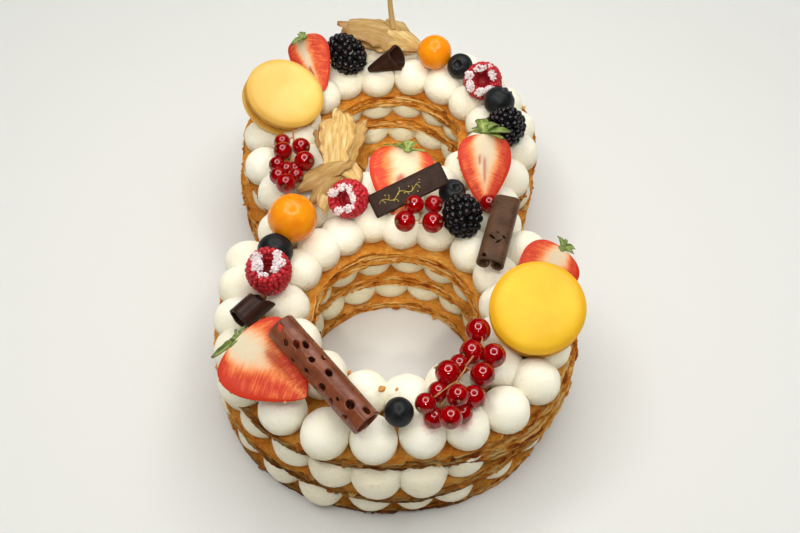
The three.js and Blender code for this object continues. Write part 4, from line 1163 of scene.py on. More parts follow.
def raspberry(name, place, size, sugar):
    """A hulled raspberry, its hollow up: rows of beads outside, rings of beads inside, and sugar"""
    width, length = size
    rows_outside, rows_inside, columns = RASPBERRY_GRID
    outside = rounded(RASPBERRY_OUTSIDE, rows_outside) * size
    hollow = rounded(RASPBERRY_HOLLOW, rows_inside) * size
    cup, faces = lathe(np.concatenate([[[0, -0.5 * length]], outside * (0.9, 0.97), hollow]), columns)
    inside = (np.hypot(cup[:, 0], cup[:, 1]) < 0.3 * width) & (cup[:, 2] > -0.1 * length)
    shape = Shape()
    shape.add(placed(cup, **place), faces, inside=inside)
    run = run_along(outside)
    rows = round(run[-1] / (RASPBERRY_BEAD * 1.62))
    for row in range(rows + 1):
        at = run[-1] * (row + 0.35) / (rows + 0.35)
        r, z = np.interp(at, run, outside[:, 0]), np.interp(at, run, outside[:, 1])
        ring_of_beads(shape, place, r - 0.5, z, RASPBERRY_BEAD, row, width)
    for row, (share, height, grown) in enumerate(RASPBERRY_RINGS):
        ring_of_beads(shape, place, share * width, height * length, grown, 20 + row, width, inside=0.6)
    make(name + "_beads", shape, RASPBERRY, [name])

    dust = Shape()
    for i, (x, y, z, across, along) in enumerate(sugar):
        heap(dust, place, (x, y, z), (across, along), width + i * 7)
    make(name + "_sugar", dust, SUGAR)


def ring_of_beads(shape, place, r, z, radius, row, seed, inside=0.0):
    """Beads side by side in a ring round the axis of a raspberry"""
    bead, faces = globe(10, 7)
    count = max(round(TURN * r / (radius * 1.75)), 1)
    for i in range(count):
        own = row * 41 + i + seed
        around = TURN * (i + 0.5 * (row % 2)) / count + jitter(own, 0.06)
        grown = radius * (1 + jitter(own + 0.4, 0.08))
        spot = (r * math.cos(around), r * math.sin(around), z + jitter(own + 0.6, 0.2))
        shape.add(placed(bead * grown + spot, **place), faces, inside=inside)


def heap(shape, place, at, size, seed):
    """A small heap of coarse sugar grains, clumped together"""
    grain, faces = globe(6, 4)
    lump, lump_faces = globe(16, 10)
    across, along = size
    body = lump * (across * 0.85, along * 0.85, 0.8) * (1 + 0.25 * noise(lump * 6, 3, seed))[:, None]
    shape.add(placed(body + np.array(at), **place), lump_faces)
    for i in range(round(across * along * 9)):
        own = seed + i * 1.31
        around, far = TURN * chance(own), math.sqrt(chance(own + 0.3))
        high = 1.1 * math.sqrt(1 - far * far * 0.9)
        spot = np.array([across * far * math.cos(around), along * far * math.sin(around), high])
        shape.add(placed(grain * (0.32 + 0.32 * chance(own + 0.6)) + spot + np.array(at), **place), faces)


# Section of a blueberry: radius and height as shares of its width and height
BLUEBERRY_PROFILE = (
    (0, -0.5), (0.3, -0.41), (0.48, -0.14), (0.5, 0.08), (0.4, 0.33), (0.25, 0.45), (0.2, 0.49),
    (0.17, 0.47), (0.13, 0.4), (0, 0.375),
)


def blueberry(name, place, size):
    """A blueberry with the five-pointed rim of its crown towards +Z"""
    width, tall = size
    points, faces = lathe(rounded(BLUEBERRY_PROFILE, 40), 40)
    around = np.arctan2(points[:, 1], points[:, 0])
    radius = np.hypot(points[:, 0], points[:, 1])
    rim = np.exp(-((radius - 0.19) / 0.035) ** 2) * (points[:, 2] > 0.38)
    points[:, 2] += rim * 0.035 * np.cos(5 * around)
    points *= (1 + 0.012 * noise(points * 10, 4, width))[:, None]
    crown = smooth_step(-radius, -0.21, -0.15) * (points[:, 2] > 0.3)
    points = placed(points * (width, width, tall), **place)
    make_one(name + "_fruit", points, faces, BLUEBERRY, "blueberry", [name], crown=crown, rim=rim)


def physalis(name, at, width):
    """A smooth round berry with a faint seam from pole to pole"""
    points, faces = globe(48, 32)
    around = np.arctan2(points[:, 1], points[:, 0])
    swell = 1 - 0.008 * np.cos(around * 5) ** 8 + 0.008 * noise(points * 10, 6, width)
    points = points * swell[:, None] * width / 2 + np.array(at)
    make_one(name + "_fruit", points, faces, PHYSALIS_SKIN, "physalis", [name])


# Radii of the stem of one currant, from the stalk to the berry, and of a hair of its dry tip
STEM_RADII = (0.36, 0.3, 0.28, 0.28, 0.3, 0.38, 0.45)
HAIR_RADII = (0.26, 0.22, 0.15, 0.06)
HAIRS = 6


def stalk_line(stalk):
    """A slightly wavy line between the two ends of a stalk"""
    ends = np.array(stalk, float)
    share = np.linspace(0, 1, 14)[:, None]
    line = ends[0] * (1 - share) + ends[1] * share
    return line + 0.5 * np.sin(share * 19 + ends[0, 0]) * [0.8, 0.3, 0.4]


def currant_stem(stalks, near, middle, away, radius):
    """A bowed stem from the stalk to a berry"""
    share = np.linspace(0, 1, len(STEM_RADII))[:, None]
    bow = near * 0.5 + (middle - away * radius) * 0.5 + np.array([0, 0, 0.7])
    root = middle - away * radius * 0.93
    path = near * (1 - share) ** 2 + 2 * bow * share * (1 - share) + root * share ** 2
    tube(stalks, path, STEM_RADII, 6, tip=0)


def currant_tip(tips, basis, middle, radius, number):
    """The dry hairs at the end of a berry"""
    for k in range(HAIRS):
        a = TURN * k / HAIRS + number
        base = np.array([math.cos(a) * 0.4, math.sin(a) * 0.4, radius * 0.97])
        spread, rise = 0.3 + 0.5 * chance(number + k), 0.5 + 0.5 * chance(k + number * 3)
        end = np.array([math.cos(a) * spread, math.sin(a) * 0.6, radius + rise])
        path = base + (end - base) * np.linspace(0, 1, len(HAIR_RADII))[:, None]
        tube(tips, path @ basis.T + middle, HAIR_RADII, 5)


def currants(name, stalk, berries):
    """A bunch of currants: glassy berries with dry tips, on a thin branched stalk"""
    shape, stalks, tips = Shape(), Shape(), Shape()
    globe_points, faces = globe(32, 20)
    if stalk:
        line = stalk_line(stalk)
        tube(stalks, line, np.linspace(0.42, 0.32, len(line)), tip=0)
    for i, (*spot, radius) in enumerate(berries):
        middle = np.array(spot, float)
        away = np.array([0.5, -0.6, 0.3])
        if stalk:
            near = line[np.argmin(np.linalg.norm(line - middle, axis=1))]
            away = unit(middle - near)
            currant_stem(stalks, near, middle, away, radius)
        away = unit(away + np.array([0, -0.66, 0.75]) * (0.2 + 1.3 * chance(i * 3.1 + spot[2])))
        side = unit(np.cross(away, (0.1, 0.3, 0.9)))
        basis = np.stack([side, np.cross(away, side), away], 1)
        body = globe_points * (1 + 0.012 * noise(globe_points * 6 + i, 4, i))[:, None] * radius
        around = np.arctan2(globe_points[:, 1], globe_points[:, 0]) * radius + i * 40
        shape.add(body @ basis.T + middle, faces, pole=globe_points[:, 2], around=around)
        currant_tip(tips, basis, middle, radius, i)
    make(name + "_berries", shape, CURRANT, [name])
    make(name + "_tips", tips, DRY_TIP)
    if stalk:
        make(name + "_stalk", stalks, STALK)


def macaron(name, place, width, oval):
    """Two domed shells with ruffled feet, and the filling between them"""
    for number, (end, flip) in enumerate((("upper", 1), ("lower", -1))):
        macaron_shell(name, place, width / 2, oval, end, flip, number)
    macaron_filling(name, place, width / 2, oval)


def macaron_shell(name, place, half, oval, end, flip, number):
    """A domed shell with its ruffled foot towards the filling"""
    gap = MACARON["filling"] / 2
    tall, foot = MACARON["tall"] / 2 - gap - 0.2, MACARON["foot"]
    corners = (
        (0, 0), (half - 2.4, 0), (half - 0.9, 0.15), (half - 0.35, foot * 0.35), (half - 0.45, foot * 0.7),
        (half - 0.95, foot), (half - 0.25, foot + 0.55), (half, foot + 1.5), (half * 0.965, tall * 0.66),
        (half * 0.86, tall * 0.84), (half * 0.62, tall * 0.955), (half * 0.3, tall * 0.995), (0, tall),
    )
    rows, columns = SHELL_GRID
    points, faces = lathe(rounded(corners, rows), columns)
    radius = np.hypot(points[:, 0], points[:, 1])
    low = 1 - smooth_step(points[:, 2], foot * 0.85, foot + 0.5)
    in_foot = smooth_step(radius, half - 2.2, half - 1) * low
    ruffle = 0.55 * noise(points * (1, 1, 1.6), 2.3, number + 3) + 0.4 * noise(points, 0.95, number + 5)
    out = points / np.maximum(radius, 1)[:, None] * (1, 1, 0)
    points = points + out * (ruffle * in_foot)[:, None]
    dome = smooth_step(points[:, 2], foot + 0.4, foot + 1.6)
    points[:, 2] += dome * (0.22 * noise(points, 13, number + 8) + 0.07 * noise(points, 3, number + 9))
    points = placed((points + (0, 0, gap)) * (1, flip * oval, flip), **place)
    # painted shade: the outer part of each shell is marked for darkening towards the foot colour
    brink = smooth_step(radius, half * 0.72, half * 0.99)
    skin = MACARON_SKIN[name]
    make_one(f"{name}_{end}", points, faces, skin, name, [f"{name}_shell_{end}"], foot=in_foot, brink=brink)


def macaron_filling(name, place, half, oval):
    """The filling, which bulges a little at its rim"""
    gap = MACARON["filling"] / 2
    corners = (
        (0, -gap - 0.1), (half - 3, -gap - 0.1), (half - 1.7, -gap * 0.6), (half - 1.3, 0),
        (half - 1.7, gap * 0.6), (half - 3, gap + 0.1), (0, gap + 0.1),
    )
    rows, columns = FILLING_GRID
    points, faces = lathe(rounded(corners, rows), columns)
    points = placed(points * (1, oval, 1) * (1 + 0.02 * noise(points, 4, 2))[:, None], **place)
    make_one(name + "_filling_cream", points, faces, FILLING, "macaron_filling", [name + "_filling"])


# How far apart the points of a curved sheet lie, and how many a rolled up section has
CELL = 0.5
SCROLL_POINTS = 160


def curved_sheet(section, length, wall, holes=(), ragged=0.0, seed=0, bite=0.0):
    """A sheet that follows a section of x and z, run out along Y, with oval holes through it

    A bite cuts the far end back where the section is high, so that its inside shows."""
    section = np.asarray(section, float)
    run = run_along(section)
    columns, rows = max(int(run[-1] / CELL), 8) + 1, max(int(length / CELL), 8) + 1
    u, v = np.meshgrid(np.linspace(0, run[-1], columns), np.linspace(-length / 2, length / 2, rows))
    keep = np.ones((rows - 1, columns - 1), bool)
    for at_u, at_v, half_u, half_v, slant in holes:
        turn = math.radians(slant)
        du, dv = u - at_u, v - at_v
        p = (du * math.cos(turn) + dv * math.sin(turn)) / half_u
        q = (dv * math.cos(turn) - du * math.sin(turn)) / half_v
        far = np.maximum(np.hypot(p, q), 1e-6)
        near = abs(far - 1) * min(half_u, half_v) < CELL * 0.75
        u, v = np.where(near, at_u + du / far, u), np.where(near, at_v + dv / far, v)
        middle = (far[:-1, :-1] + far[1:, :-1] + far[:-1, 1:] + far[1:, 1:]) / 4
        keep &= middle > 1
    x, z = np.interp(u, run, section[:, 0]), np.interp(u, run, section[:, 1])
    if ragged:
        edge = np.stack([u, np.sign(v) * 30, 0 * v], -1).reshape(-1, 3)
        torn = 0.5 + 0.5 * noise(edge, 2.5, seed).reshape(v.shape)
        v = v * (1 - ragged * torn * (abs(v) > length / 2 - CELL * 2))
    cut = bite * smooth_step(z - x * 0.5, -2, 5)
    v = v - cut * (v / length + 0.5)
    points, faces, _ = thin_sheet(np.stack([x, v, z], -1), wall, keep)
    return points, faces


def scroll(radius, wall, turns, gap, sides=0, start=0):
    """A section rolled up; with sides it has flat facets with rounded corners"""
    angle = np.linspace(0, turns * TURN, SCROLL_POINTS)
    reach = radius - wall / 2 - (wall + gap) * angle / TURN
    if sides:
        part = TURN / sides
        inside = (angle + start) % part - part / 2
        flat = 0.35 + 0.65 * np.cos(part / 2) / np.cos(inside)
        reach = reach * flat / (0.35 + 0.65 * math.cos(part / 2))
    return np.stack([reach * np.cos(angle), reach * np.sin(angle)], -1)


# Holes through the roll: place round it and along it, half sizes and slant
ROLL_HOLES = (
    (20.4, 23.7, 1.3, 1.7, 30), (20, 14.2, 1.2, 1.8, 20), (17.2, 11.8, 1.2, 1.9, 30),
    (19.4, 5.6, 1.1, 1.5, -20), (17.8, -2.7, 1.4, 1.8, 25), (24.1, 3.8, 1, 1.5, 30),
    (23.5, -4.9, 1.5, 1.7, -15), (19.8, -17.5, 1.7, 2, 20), (16.4, -23.3, 1.4, 1.8, 10),
    (24.6, -11.3, 1, 1.5, 30), (24.8, -19.1, 1.1, 1.5, -30), (22.6, 17.6, 1, 1.6, 40),
    (25.8, 11, 1, 1.6, 20), (22, -12.6, 0.7, 1, 30), (27.4, -3, 1, 1.5, 30), (15, 3.6, 1, 1.5, 30),
    (1.2, 23.7, 1.9, 2.2, 0), (1, 14, 2, 2.4, 0), (36, 11.6, 1.9, 2.2, 0), (5, -4, 1, 1.6, 30),
    (32, -16, 1, 1.6, -30), (9, 18, 1, 1.6, 30), (10, -10, 1, 1.6, -20),
)
# Slits through the tube, in the same way
TUBE_HOLES = (
    (14, -6.5, 0.7, 2.0, 50), (17, -8.5, 0.6, 1.8, -35), (19.2, -5.5, 0.6, 1.4, 40),
    (16, -3.4, 0.5, 0.9, 60), (12.5, -17.5, 0.9, 1.7, 30),
)


def chocolate(name, points, faces, material, slot="chocolate_dark", smooth=True):
    """Makes one piece of chocolate at its place"""
    node = "chocolate_" + name
    make_one(name, placed(points, **CHOCOLATES[node]), faces, material, slot, [node], smooth)


def roll():
    """A roll with flat sides and round holes"""
    section = scroll(**ROLL)[:, ::-1] * (1, -1)
    points, faces = curved_sheet(section, ROLL_LENGTH, ROLL["wall"], ROLL_HOLES)
    chocolate("roll", points, faces, MILK, "chocolate_milk")


def double_tube():
    """A sheet curled in from both sides into two tubes"""
    half = TUBE_WIDTH / 4 + 0.2
    share = np.linspace(0, 1, 60)
    angle = math.pi / 2 - share * 5.4
    reach = half - 0.6 - 0.8 * share
    side = np.stack([half - 0.4 + reach * np.cos(angle), reach * np.sin(angle)], -1)
    section = np.concatenate([(side * (-1, 1))[::-1], side[1:]])
    points, faces = curved_sheet(section, TUBE_LENGTH, 1.1, TUBE_HOLES, ragged=0.03, seed=5)
    chocolate("tube", points, faces, TUBE)


def curl_left():
    """A rolled curl with a torn end"""
    points, faces = curved_sheet(scroll(**CURL), CURL_LENGTH, 1.0, ragged=0.26, seed=8, bite=5)
    chocolate("curl_left", points, faces, DARK)


def curl_back():
    """A cone with a wavy edge"""
    u, v = np.meshgrid(np.linspace(0, 1.22 * TURN, 70), np.linspace(0, 1, 36))
    reach = (1 + 5.3 * v ** 0.85) * (1 - 0.07 * u / TURN) * (1 + 0.1 * np.cos(4 * u + 0.6) * v)
    along = -9.5 + 19 * v - 1.6 * (0.5 + 0.5 * np.sin(u * 2.3)) * v ** 3
    points, faces, _ = thin_sheet(np.stack([reach * np.cos(u), along, reach * np.sin(u)], -1), 0.9)
    chocolate("curl_back", points, faces, DARK)


# Half sizes of the plaque and the radius of its corners; the vine's start, length, swing, waves
# and curls, and the radii of its stem and curls
PLAQUE_SIZE = (18.25, 5.6, 1.5)
PLAQUE_CORNER = 0.8
VINE = {"start": -14.5, "length": 21, "swing": 1.1, "waves": 15, "curls": 7, "stem": 0.17, "curl": 0.14}


def plaque():
    """A slim bar with bevelled edges"""
    long, wide, thick = PLAQUE_SIZE
    rings = (
        (-thick, 0.9), (-thick + 0.5, 0.1), (thick - 0.75, 0), (thick - 0.3, 0.25), (thick, 0.75),
        (thick, 1.2), (thick - 0.12, 1.35),
    )
    corner = np.linspace(0, math.pi / 2, 5)
    rows = []
    for z, inset in rings:
        a, b = long - inset - PLAQUE_CORNER, wide - inset - PLAQUE_CORNER
        row = []
        for quarter, (x, y) in enumerate(((a, b), (-a, b), (-a, -b), (a, -b))):
            t = corner + quarter * math.pi / 2
            x, y = x + PLAQUE_CORNER * np.cos(t), y + PLAQUE_CORNER * np.sin(t)
            row.append(np.stack([x, y, 0 * t + z], -1))
        rows.append(np.concatenate(row))
    points, faces = closed_rings(np.stack(rows), (0, 0, -thick), (0, 0, thick - 0.12))
    chocolate("plaque", points, faces, PLAQUE, smooth=False)


def vine():
    """A gold vine with curls and dots on the plaque's face"""
    place, thick = CHOCOLATES["chocolate_plaque"], PLAQUE_SIZE[2]
    shape = Shape()

    def wave(share):
        return VINE["start"] + VINE["length"] * share, VINE["swing"] * np.sin(share * VINE["waves"])

    share = np.linspace(0, 1, 60)
    x, y = wave(share)
    stem = np.stack([x, y, 0 * x + thick - 0.02], -1)
    tube(shape, placed(stem, **place), VINE["stem"] * np.sin(math.pi * (0.05 + 0.9 * share)) ** 0.4, 6)
    dot, faces = globe(8, 5)
    curl = np.linspace(0, 1, 14)
    for i in range(VINE["curls"]):
        side = 1 if i % 2 else -1
        x, y = wave((i + 0.6) / (VINE["curls"] + 0.4))
        along, across = x + 1.5 * curl + 0.5 * np.sin(curl * 5), y + side * 2 * np.sin(curl * 2.2)
        swirl = np.stack([along, across, 0 * curl + thick - 0.02], -1)
        tube(shape, placed(swirl, **place), VINE["curl"] * (1 - 0.5 * curl), 6)
        shape.add(placed(dot * (0.32, 0.32, 0.2) + (x + 2.3, y - side * 1.3, thick), **place), faces)
    make("vine", shape, GOLD)


def petal(root, tip, width, arch, curl, seed):
    """A dry crumpled petal from root to tip, with marks of its ribs and border and its flat sizes"""
    root, tip = np.array(root, float), np.array(tip, float)
    rows, columns = PETAL_GRID
    t, s = np.meshgrid(np.linspace(0, 1, rows), np.linspace(-1, 1, columns), indexing="ij")
    length = np.linalg.norm(tip - root)
    along = (tip - root) / length
    across = unit(np.cross(along, (0, 0, 1)))
    up = np.cross(across, along)
    spots = np.stack([t * length, s * width / 2, 0 * t + seed * 13], -1).reshape(-1, 3)
    crumple = 1.4 * noise(spots, 12, seed) + 1.3 * (0.4 - abs(noise(spots * (0.5, 1, 1), 8, seed + 3)))
    crumple = (crumple + 0.12 * noise(spots, 2, seed + 1)).reshape(t.shape)
    beside = np.stack([t * length, np.sign(s) * 5, 0 * t], -1).reshape(-1, 3)
    edge = noise(beside, 3.5, seed + 2).reshape(t.shape)
    half = width / 2 * np.sin(math.pi * (0.1 + 0.88 * t) ** 1.2) ** 0.7 * (1 + 0.3 * edge * abs(s))
    ribs = noise(spots * (0.12, 1, 1), 3.2, seed + 4).reshape(t.shape)
    rib = 1 - smooth_step(abs(ribs), 0, 0.12)
    height = arch * np.sin(math.pi * t) + curl * s ** 2 * np.sin(math.pi * (0.15 + 0.7 * t))
    height = height + crumple + 0.16 * rib
    forward = length * t * (1 + 0.09 * edge * smooth_step(t, 0.6, 1))
    grid = root + forward[..., None] * along + (half * s)[..., None] * across + height[..., None] * up
    border = 1 - np.clip(np.minimum((1 - abs(s)) * 4, (1 - t) * 6), 0, 1)
    return grid, rib, border, t * length, s * width / 2


def husk(name, petals, stalk=()):
    """A husk of papery petals, with or without a stalk"""
    shape = Shape()
    for i, values in enumerate(petals):
        seed = i + len(petals) * 3
        grid, rib, border, run, wrap = petal(*values, seed)
        points, faces, used = thin_sheet(grid, HUSK_THICK)
        marks = {"vein": rib, "border": border, "run": run, "wrap": wrap + i * 30}
        marks = {mark: values.ravel()[used] for mark, values in marks.items()}
        shape.add(points, faces, dark=chance(seed), **marks)
    if stalk:
        line = rounded(stalk, 14)
        tube(shape, line, np.linspace(*HUSK_STALK, len(line)), 9, vein=0.7)
    make(name + "_paper", shape, HUSK, [name])


def crumbs():
    """Loose crumbs of pastry, chips of cream and shards of chocolate that lie on the cream"""
    for name, (look, slot, places) in {
        "pastry_crumbs": (CRUMB, "pastry", CRUMBS), "cream_chips": (CREAM_CHIP, "cream", CHIPS),
        "chocolate_shards": (DARK, "chocolate_dark", SHARDS),
    }.items():
        shape = Shape()
        points, faces = globe(12, 8)
        for i, (x, y, z, size) in enumerate(places):
            lump = points * (1, 0.7, 0.5) * (1 + 0.4 * noise(points * 6 + i * 5, 4, i))[:, None] * size / 2
            shape.add(placed(lump, (x, y, z), turn=i * 67, lean=i * 23 % 40), faces)
        make(name, shape, look)


def strawberry_look():
    """Cut flesh: white core, orange-red body with pale streaks towards a deep red rim"""
    look = Look(
        "strawberry", Roughness=0.38, Specular_IOR_Level=0.3, Subsurface_Weight=0.05,
        Subsurface_Scale=0.001,
    )
    streaks = look.streaks(("sweep", "out", "side"), (1.5, 0.12, 3), 3, 0.6)
    value = look.math("ADD", look.mark("flesh"), look.scaled(streaks, 0.34, 0.7, -0.08, 0.16))
    value = look.math("ADD", value, look.scaled(look.noise(5, 3), 0.3, 0.7, -0.1, 0.1))
    value = look.math("SUBTRACT", value, look.part("rim", 0.5), clamp=True)
    cut = look.ramp(
        value, (0, "c62e0a"), (0.12, "da5a1e"), (0.3, "e6884a"), (0.5, "e8ac80"), (0.74, "e0c29c"),
        (1, "d9caaa"),
    )
    cut = look.mix(look.part("hollow", 0.8), cut, "bb3412")
    look.bump(streaks, 0.3)
    return look.painted(look.mix(look.mark("face"), "a81208", cut))


def leaf_look():
    look = Look("leaf", Roughness=0.5, Subsurface_Weight=0.1, Subsurface_Scale=0.001)
    green = look.ramp(look.noise(2.4, 3), (0.3, "435a1e"), (0.5, "687d2f"), (0.7, "98a452"))
    green = look.mix(look.part("vein", 0.6), green, "b7c07c")
    look.bump(look.noise(0.8, 2), 0.15)
    return look.painted(look.mix(look.scaled(look.mark("tip"), 0.78, 1), green, "4c4a1e"))


def bramble_look():
    look = Look("bramble", Roughness=0.08, Specular_IOR_Level=0.4)
    look.bump(look.noise(1.6, 1), 0.03)
    return look.painted(look.ramp(look.mark("bead"), (0, "08080a"), (0.75, "0e0d10"), (1, "1c1014")))


def raspberry_look():
    look = Look("raspberry", Roughness=0.4, Subsurface_Weight=0.15, Subsurface_Scale=0.002)
    red = look.ramp(look.noise(2.6, 2), (0.3, "a50f1c"), (0.7, "c81f2c"))
    look.bump(look.noise(0.5, 2), 0.12)
    return look.painted(look.mix(look.mark("inside"), red, "b3202b"))


def plain_look(name, dark, light, size, rough, depth):
    """A surface that varies softly between two colours, with a fine relief"""
    look = Look(name, Roughness=rough)
    look.bump(look.noise(size / 5, 3, 0.6), depth)
    return look.painted(look.ramp(look.noise(size, 3, 0.6), (0.3, dark), (0.7, light)))


def blueberry_look():
    look = Look("blueberry", Specular_IOR_Level=0.25)
    bloom = look.noise(4.5, 4, 0.6)
    colour = look.ramp(bloom, (0.35, "101113"), (0.55, "1c1f21"), (0.75, "30353a"))
    colour = look.mix(look.mark("crown"), colour, "1a1512")
    look.into("Roughness", look.scaled(bloom, 0.3, 0.7, 0.3, 0.55))
    look.bump(look.noise(0.7, 2), 0.05)
    return look.painted(look.mix(look.part("rim", 0.5), colour, "4a5055"))


def physalis_look():
    look = Look(
        "physalis", Roughness=0.18, Specular_IOR_Level=0.3, Subsurface_Weight=0.15, Subsurface_Scale=0.002,
    )
    colour = look.ramp(look.noise(6, 2), (0.3, "ee8408"), (0.7, "f69c12"))
    freckles = look.math("SUBTRACT", 1.0, look.scaled(look.cells(1.3), 0.1, 0.2))
    look.bump(look.noise(0.9, 2), 0.04)
    return look.painted(look.mix(look.math("MULTIPLY", freckles, 0.25), colour, "fbc564"))


def currant_look():
    """Glassy red skin with faint paler meridians"""
    look = Look("currant", Roughness=0.03, Specular_IOR_Level=0.8)
    lines = look.streaks(("around", "pole"), (0.9, 0.5, 1))
    colour = look.ramp(lines, (0.35, "780003"), (0.7, "a20206"), (0.95, "c2080c"))
    return look.painted(look.mix(look.scaled(look.mark("pole"), 0.86, 1), colour, "4e0406"))


def macaron_look(name, shell, shade, foot):
    """A smooth shell with soft patches, darker specks, painted shade towards its rim and a rough foot"""
    look = Look(name, Roughness=0.45)
    soft = look.ramp(look.noise(16, 3), (0.35, shade), (0.65, shell))
    specks = look.math("SUBTRACT", 1.0, look.scaled(look.cells(3.1), 0.03, 0.1))
    soft = look.mix(look.math("MULTIPLY", specks, 0.3), soft, foot)
    # painted shade: the shell darkens towards the foot colour near its rim
    soft = look.mix(look.part("brink", 0.45), soft, foot)
    fine = look.bump(look.noise(0.9, 3, 0.6), 0.05)
    look.bump(look.math("MULTIPLY", look.noise(0.8, 3, 0.7), look.mark("foot")), 0.6, fine)
    return look.painted(look.mix(look.mark("foot"), soft, foot))


def chocolate_look(name, dark, light, rough, gloss=0.22):
    look = Look(name, Specular_IOR_Level=gloss)
    look.into("Roughness", look.scaled(look.noise(3, 2), 0.3, 0.7, rough - 0.06, rough + 0.1))
    look.bump(look.noise(1.8, 2), 0.08)
    return look.painted(look.ramp(look.noise(7, 3, 0.6), (0.3, dark), (0.7, light)))


def husk_look():
    """Dry straw-coloured paper, its veins and its torn edges brown"""
    look = Look("husk", Roughness=0.6, Subsurface_Weight=0.25, Subsurface_Scale=0.001)
    fibres = look.streaks(("wrap", "run"), (0.6, 0.1, 1), 4, 0.6)
    colour = look.ramp(fibres, (0.3, "a47834"), (0.44, "bf9852"), (0.58, "d0b274"), (0.72, "e0cd9c"))
    colour = look.mix(look.scaled(look.mark("dark"), 0.35, 1, 0, 0.7), colour, "8c652c")
    colour = look.mix(look.part("vein", 0.45), colour, "9a6c30")
    edge = look.math("MULTIPLY", look.mark("border"), look.scaled(look.noise(5, 2), 0.42, 0.6))
    look.bump(fibres, 0.06)
    return look.painted(look.mix(edge, colour, "8a5a1e"))


def floor_look():
    """Pale, with a painted pool of light that makes it lighter round the cake than far off"""
    look = Look("floor", Roughness=0.7)
    spread = look.node("ShaderNodeMapping", {"Vector": look.here, "Scale": (1.6, 1.6, 1.6)}).outputs[0]
    # painted light: a spherical gradient lightens the floor round the cake
    middle = look.node("ShaderNodeTexGradient", {"Vector": spread}, gradient_type="SPHERICAL")
    return look.painted(look.ramp(middle.outputs["Fac"], (0.5, "cfd0cc"), (0.85, "dcdbd7")))


def camera():
    data = bpy.data.cameras.new("camera")
    data.lens = VIEW["lens"]
    data.sensor_width = VIEW["sensor"]
    made = linked("camera", data)
    down = math.radians(VIEW["elevation"])
    x, y, z = VIEW["target"]
    distance = VIEW["distance"]
    made.location = [v * MM for v in (x, y - distance * math.cos(down), z + distance * math.sin(down))]
    made.rotation_euler = (math.pi / 2 - down, 0, 0)
    bpy.context.scene.camera = made


def floor():
    a, z = FLOOR["reach"], FLOOR["height"]
    corners = np.array([(-a, -a, z), (a, -a, z), (a, a, z), (-a, a, z)])
    mesh_object("floor", corners, [[0, 1, 2, 3]], floor_look())


def surroundings():
    """Soft white light from all round, which glossy surfaces don't mirror"""
    world = bpy.data.worlds.new("studio")
    world.use_nodes = True
    light_of_world = world.node_tree.nodes["Background"].inputs
    light_of_world["Color"].default_value = (1, 0.998, 0.985, 1)
    light_of_world["Strength"].default_value = 0.5
    world.cycles_visibility.glossy = False
    bpy.context.scene.world = world


def ring_lamp():
    """A glowing ring overhead, which the berries mirror"""
    turns, sides = RING["around"], RING["across"]
    angle = np.linspace(0, TURN, turns, endpoint=False)[:, None]
    section = np.linspace(0, TURN, sides, endpoint=False)
    reach = RING["radius"] + RING["tube"] * np.cos(section)
    height = RING["height"] + RING["tube"] * np.sin(section) + 0 * angle
    points = np.stack([np.cos(angle) * reach, np.sin(angle) * reach, height], -1).reshape(-1, 3)
    faces = (ring_faces(turns + 1, sides) % (turns * sides)).tolist()
    glow = Look("lamp", Emission_Color=(1, 0.99, 0.96, 1), Emission_Strength=RING["strength"])
    lamp = mesh_object("ring_lamp", points, faces, glow.material)
    lamp.visible_camera = False


def light(name, kind, at, turn, **settings):
    """A light at a place in metres, turned by degrees"""
    data = bpy.data.lights.new(name, kind)
    for setting, value in settings.items():
        setattr(data, setting, value)
    made = linked(name, data)
    made.location = at
    made.rotation_euler = [math.radians(angle) for angle in turn]


def studio():
    """A pale floor, and light from all round, from overhead and into the holes"""
    floor()
    surroundings()
    ring_lamp()
    light("soft_box", "AREA", shape="RECTANGLE", color=(1, 0.985, 0.96), **SOFT_BOX)
    for name, loop, watts in zip(("lower_spot", "upper_spot"), (LOWER, UPPER), SPOT_WATTS):
        x, y, radius = loop["hole"]
        at = (x * MM, (y + radius - SPOT_BACK) * MM, SPOT_HEIGHT * MM)
        light(
            name, "SPOT", at, (45, 0, 0), energy=watts, color=(1, 0.95, 0.84),
            spot_size=math.radians(SPOT_CONE), spot_blend=0.7, shadow_soft_size=0.04,
        )
    bpy.context.scene.view_settings.view_transform = "Standard"


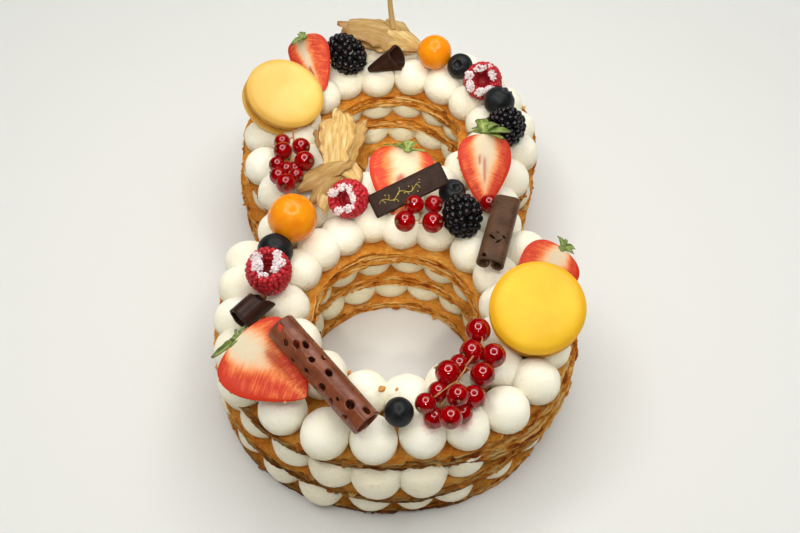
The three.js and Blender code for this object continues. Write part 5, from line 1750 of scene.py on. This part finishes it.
PASTRY = pastry_look()
CREAM = cream_look()
STRAWBERRY = strawberry_look()
SEEDS = plain_look("seeds", "b98a3a", "e0bc6a", 1, 0.5, 0.05)
LEAF = leaf_look()
STALK = plain_look("stalk", "98582c", "bf8850", 3, 0.55, 0.1)
DRY_TIP = plain_look("dry_tip", "5c2f16", "b98350", 1.2, 0.7, 0.1)
BRAMBLE = bramble_look()
RASPBERRY = raspberry_look()
SUGAR = plain_look("sugar", "dcc2c2", "f6f0f0", 1.2, 0.6, 0.2)
BLUEBERRY = blueberry_look()
PHYSALIS_SKIN = physalis_look()
CURRANT = currant_look()
MACARON_SKIN = {
    "macaron_front": macaron_look("macaron_front", "f6c816", "f0bb0c", "d88e06"),
    "macaron_back": macaron_look("macaron_back", "f2cd70", "ecc05a", "e09f26"),
}
FILLING = plain_look("macaron_filling", "b87a22", "d39b3a", 3, 0.5, 0.3)
DARK = chocolate_look("chocolate_dark", "26140c", "3c2218", 0.36)
PLAQUE = chocolate_look("chocolate_plaque", "26160f", "352017", 0.42, 0.1)
TUBE = chocolate_look("chocolate_tube", "46301f", "61432f", 0.32)
MILK = chocolate_look("chocolate_milk", "602c17", "824629", 0.3, 0.4)
GOLD = plain_look("gold", "a8922c", "c9b544", 2, 0.4, 0.05)
HUSK = husk_look()
CRUMB = plain_look("crumb", "b06a22", "e6ae58", 1.2, 0.6, 0.2)
CREAM_CHIP = plain_look("cream_chip", "f3e9cc", "fbf6e6", 1.5, 0.5, 0.1)

camera()
studio()
for build, family in (
    (pastry, PASTRIES), (cream_between, SQUASHED_CREAMS), (cream_on_top, {"cream_top": {}}),
    (strawberry, STRAWBERRIES), (bramble, BRAMBLES), (raspberry, RASPBERRIES), (blueberry, BLUEBERRIES),
    (physalis, PHYSALIS), (currants, CURRANTS), (macaron, MACARONS),
):
    for name, values in family.items():
        build(name, **values)
roll()
double_tube()
curl_left()
curl_back()
plaque()
vine()
for name, values in HUSKS.items():
    husk(name, **values)
crumbs()
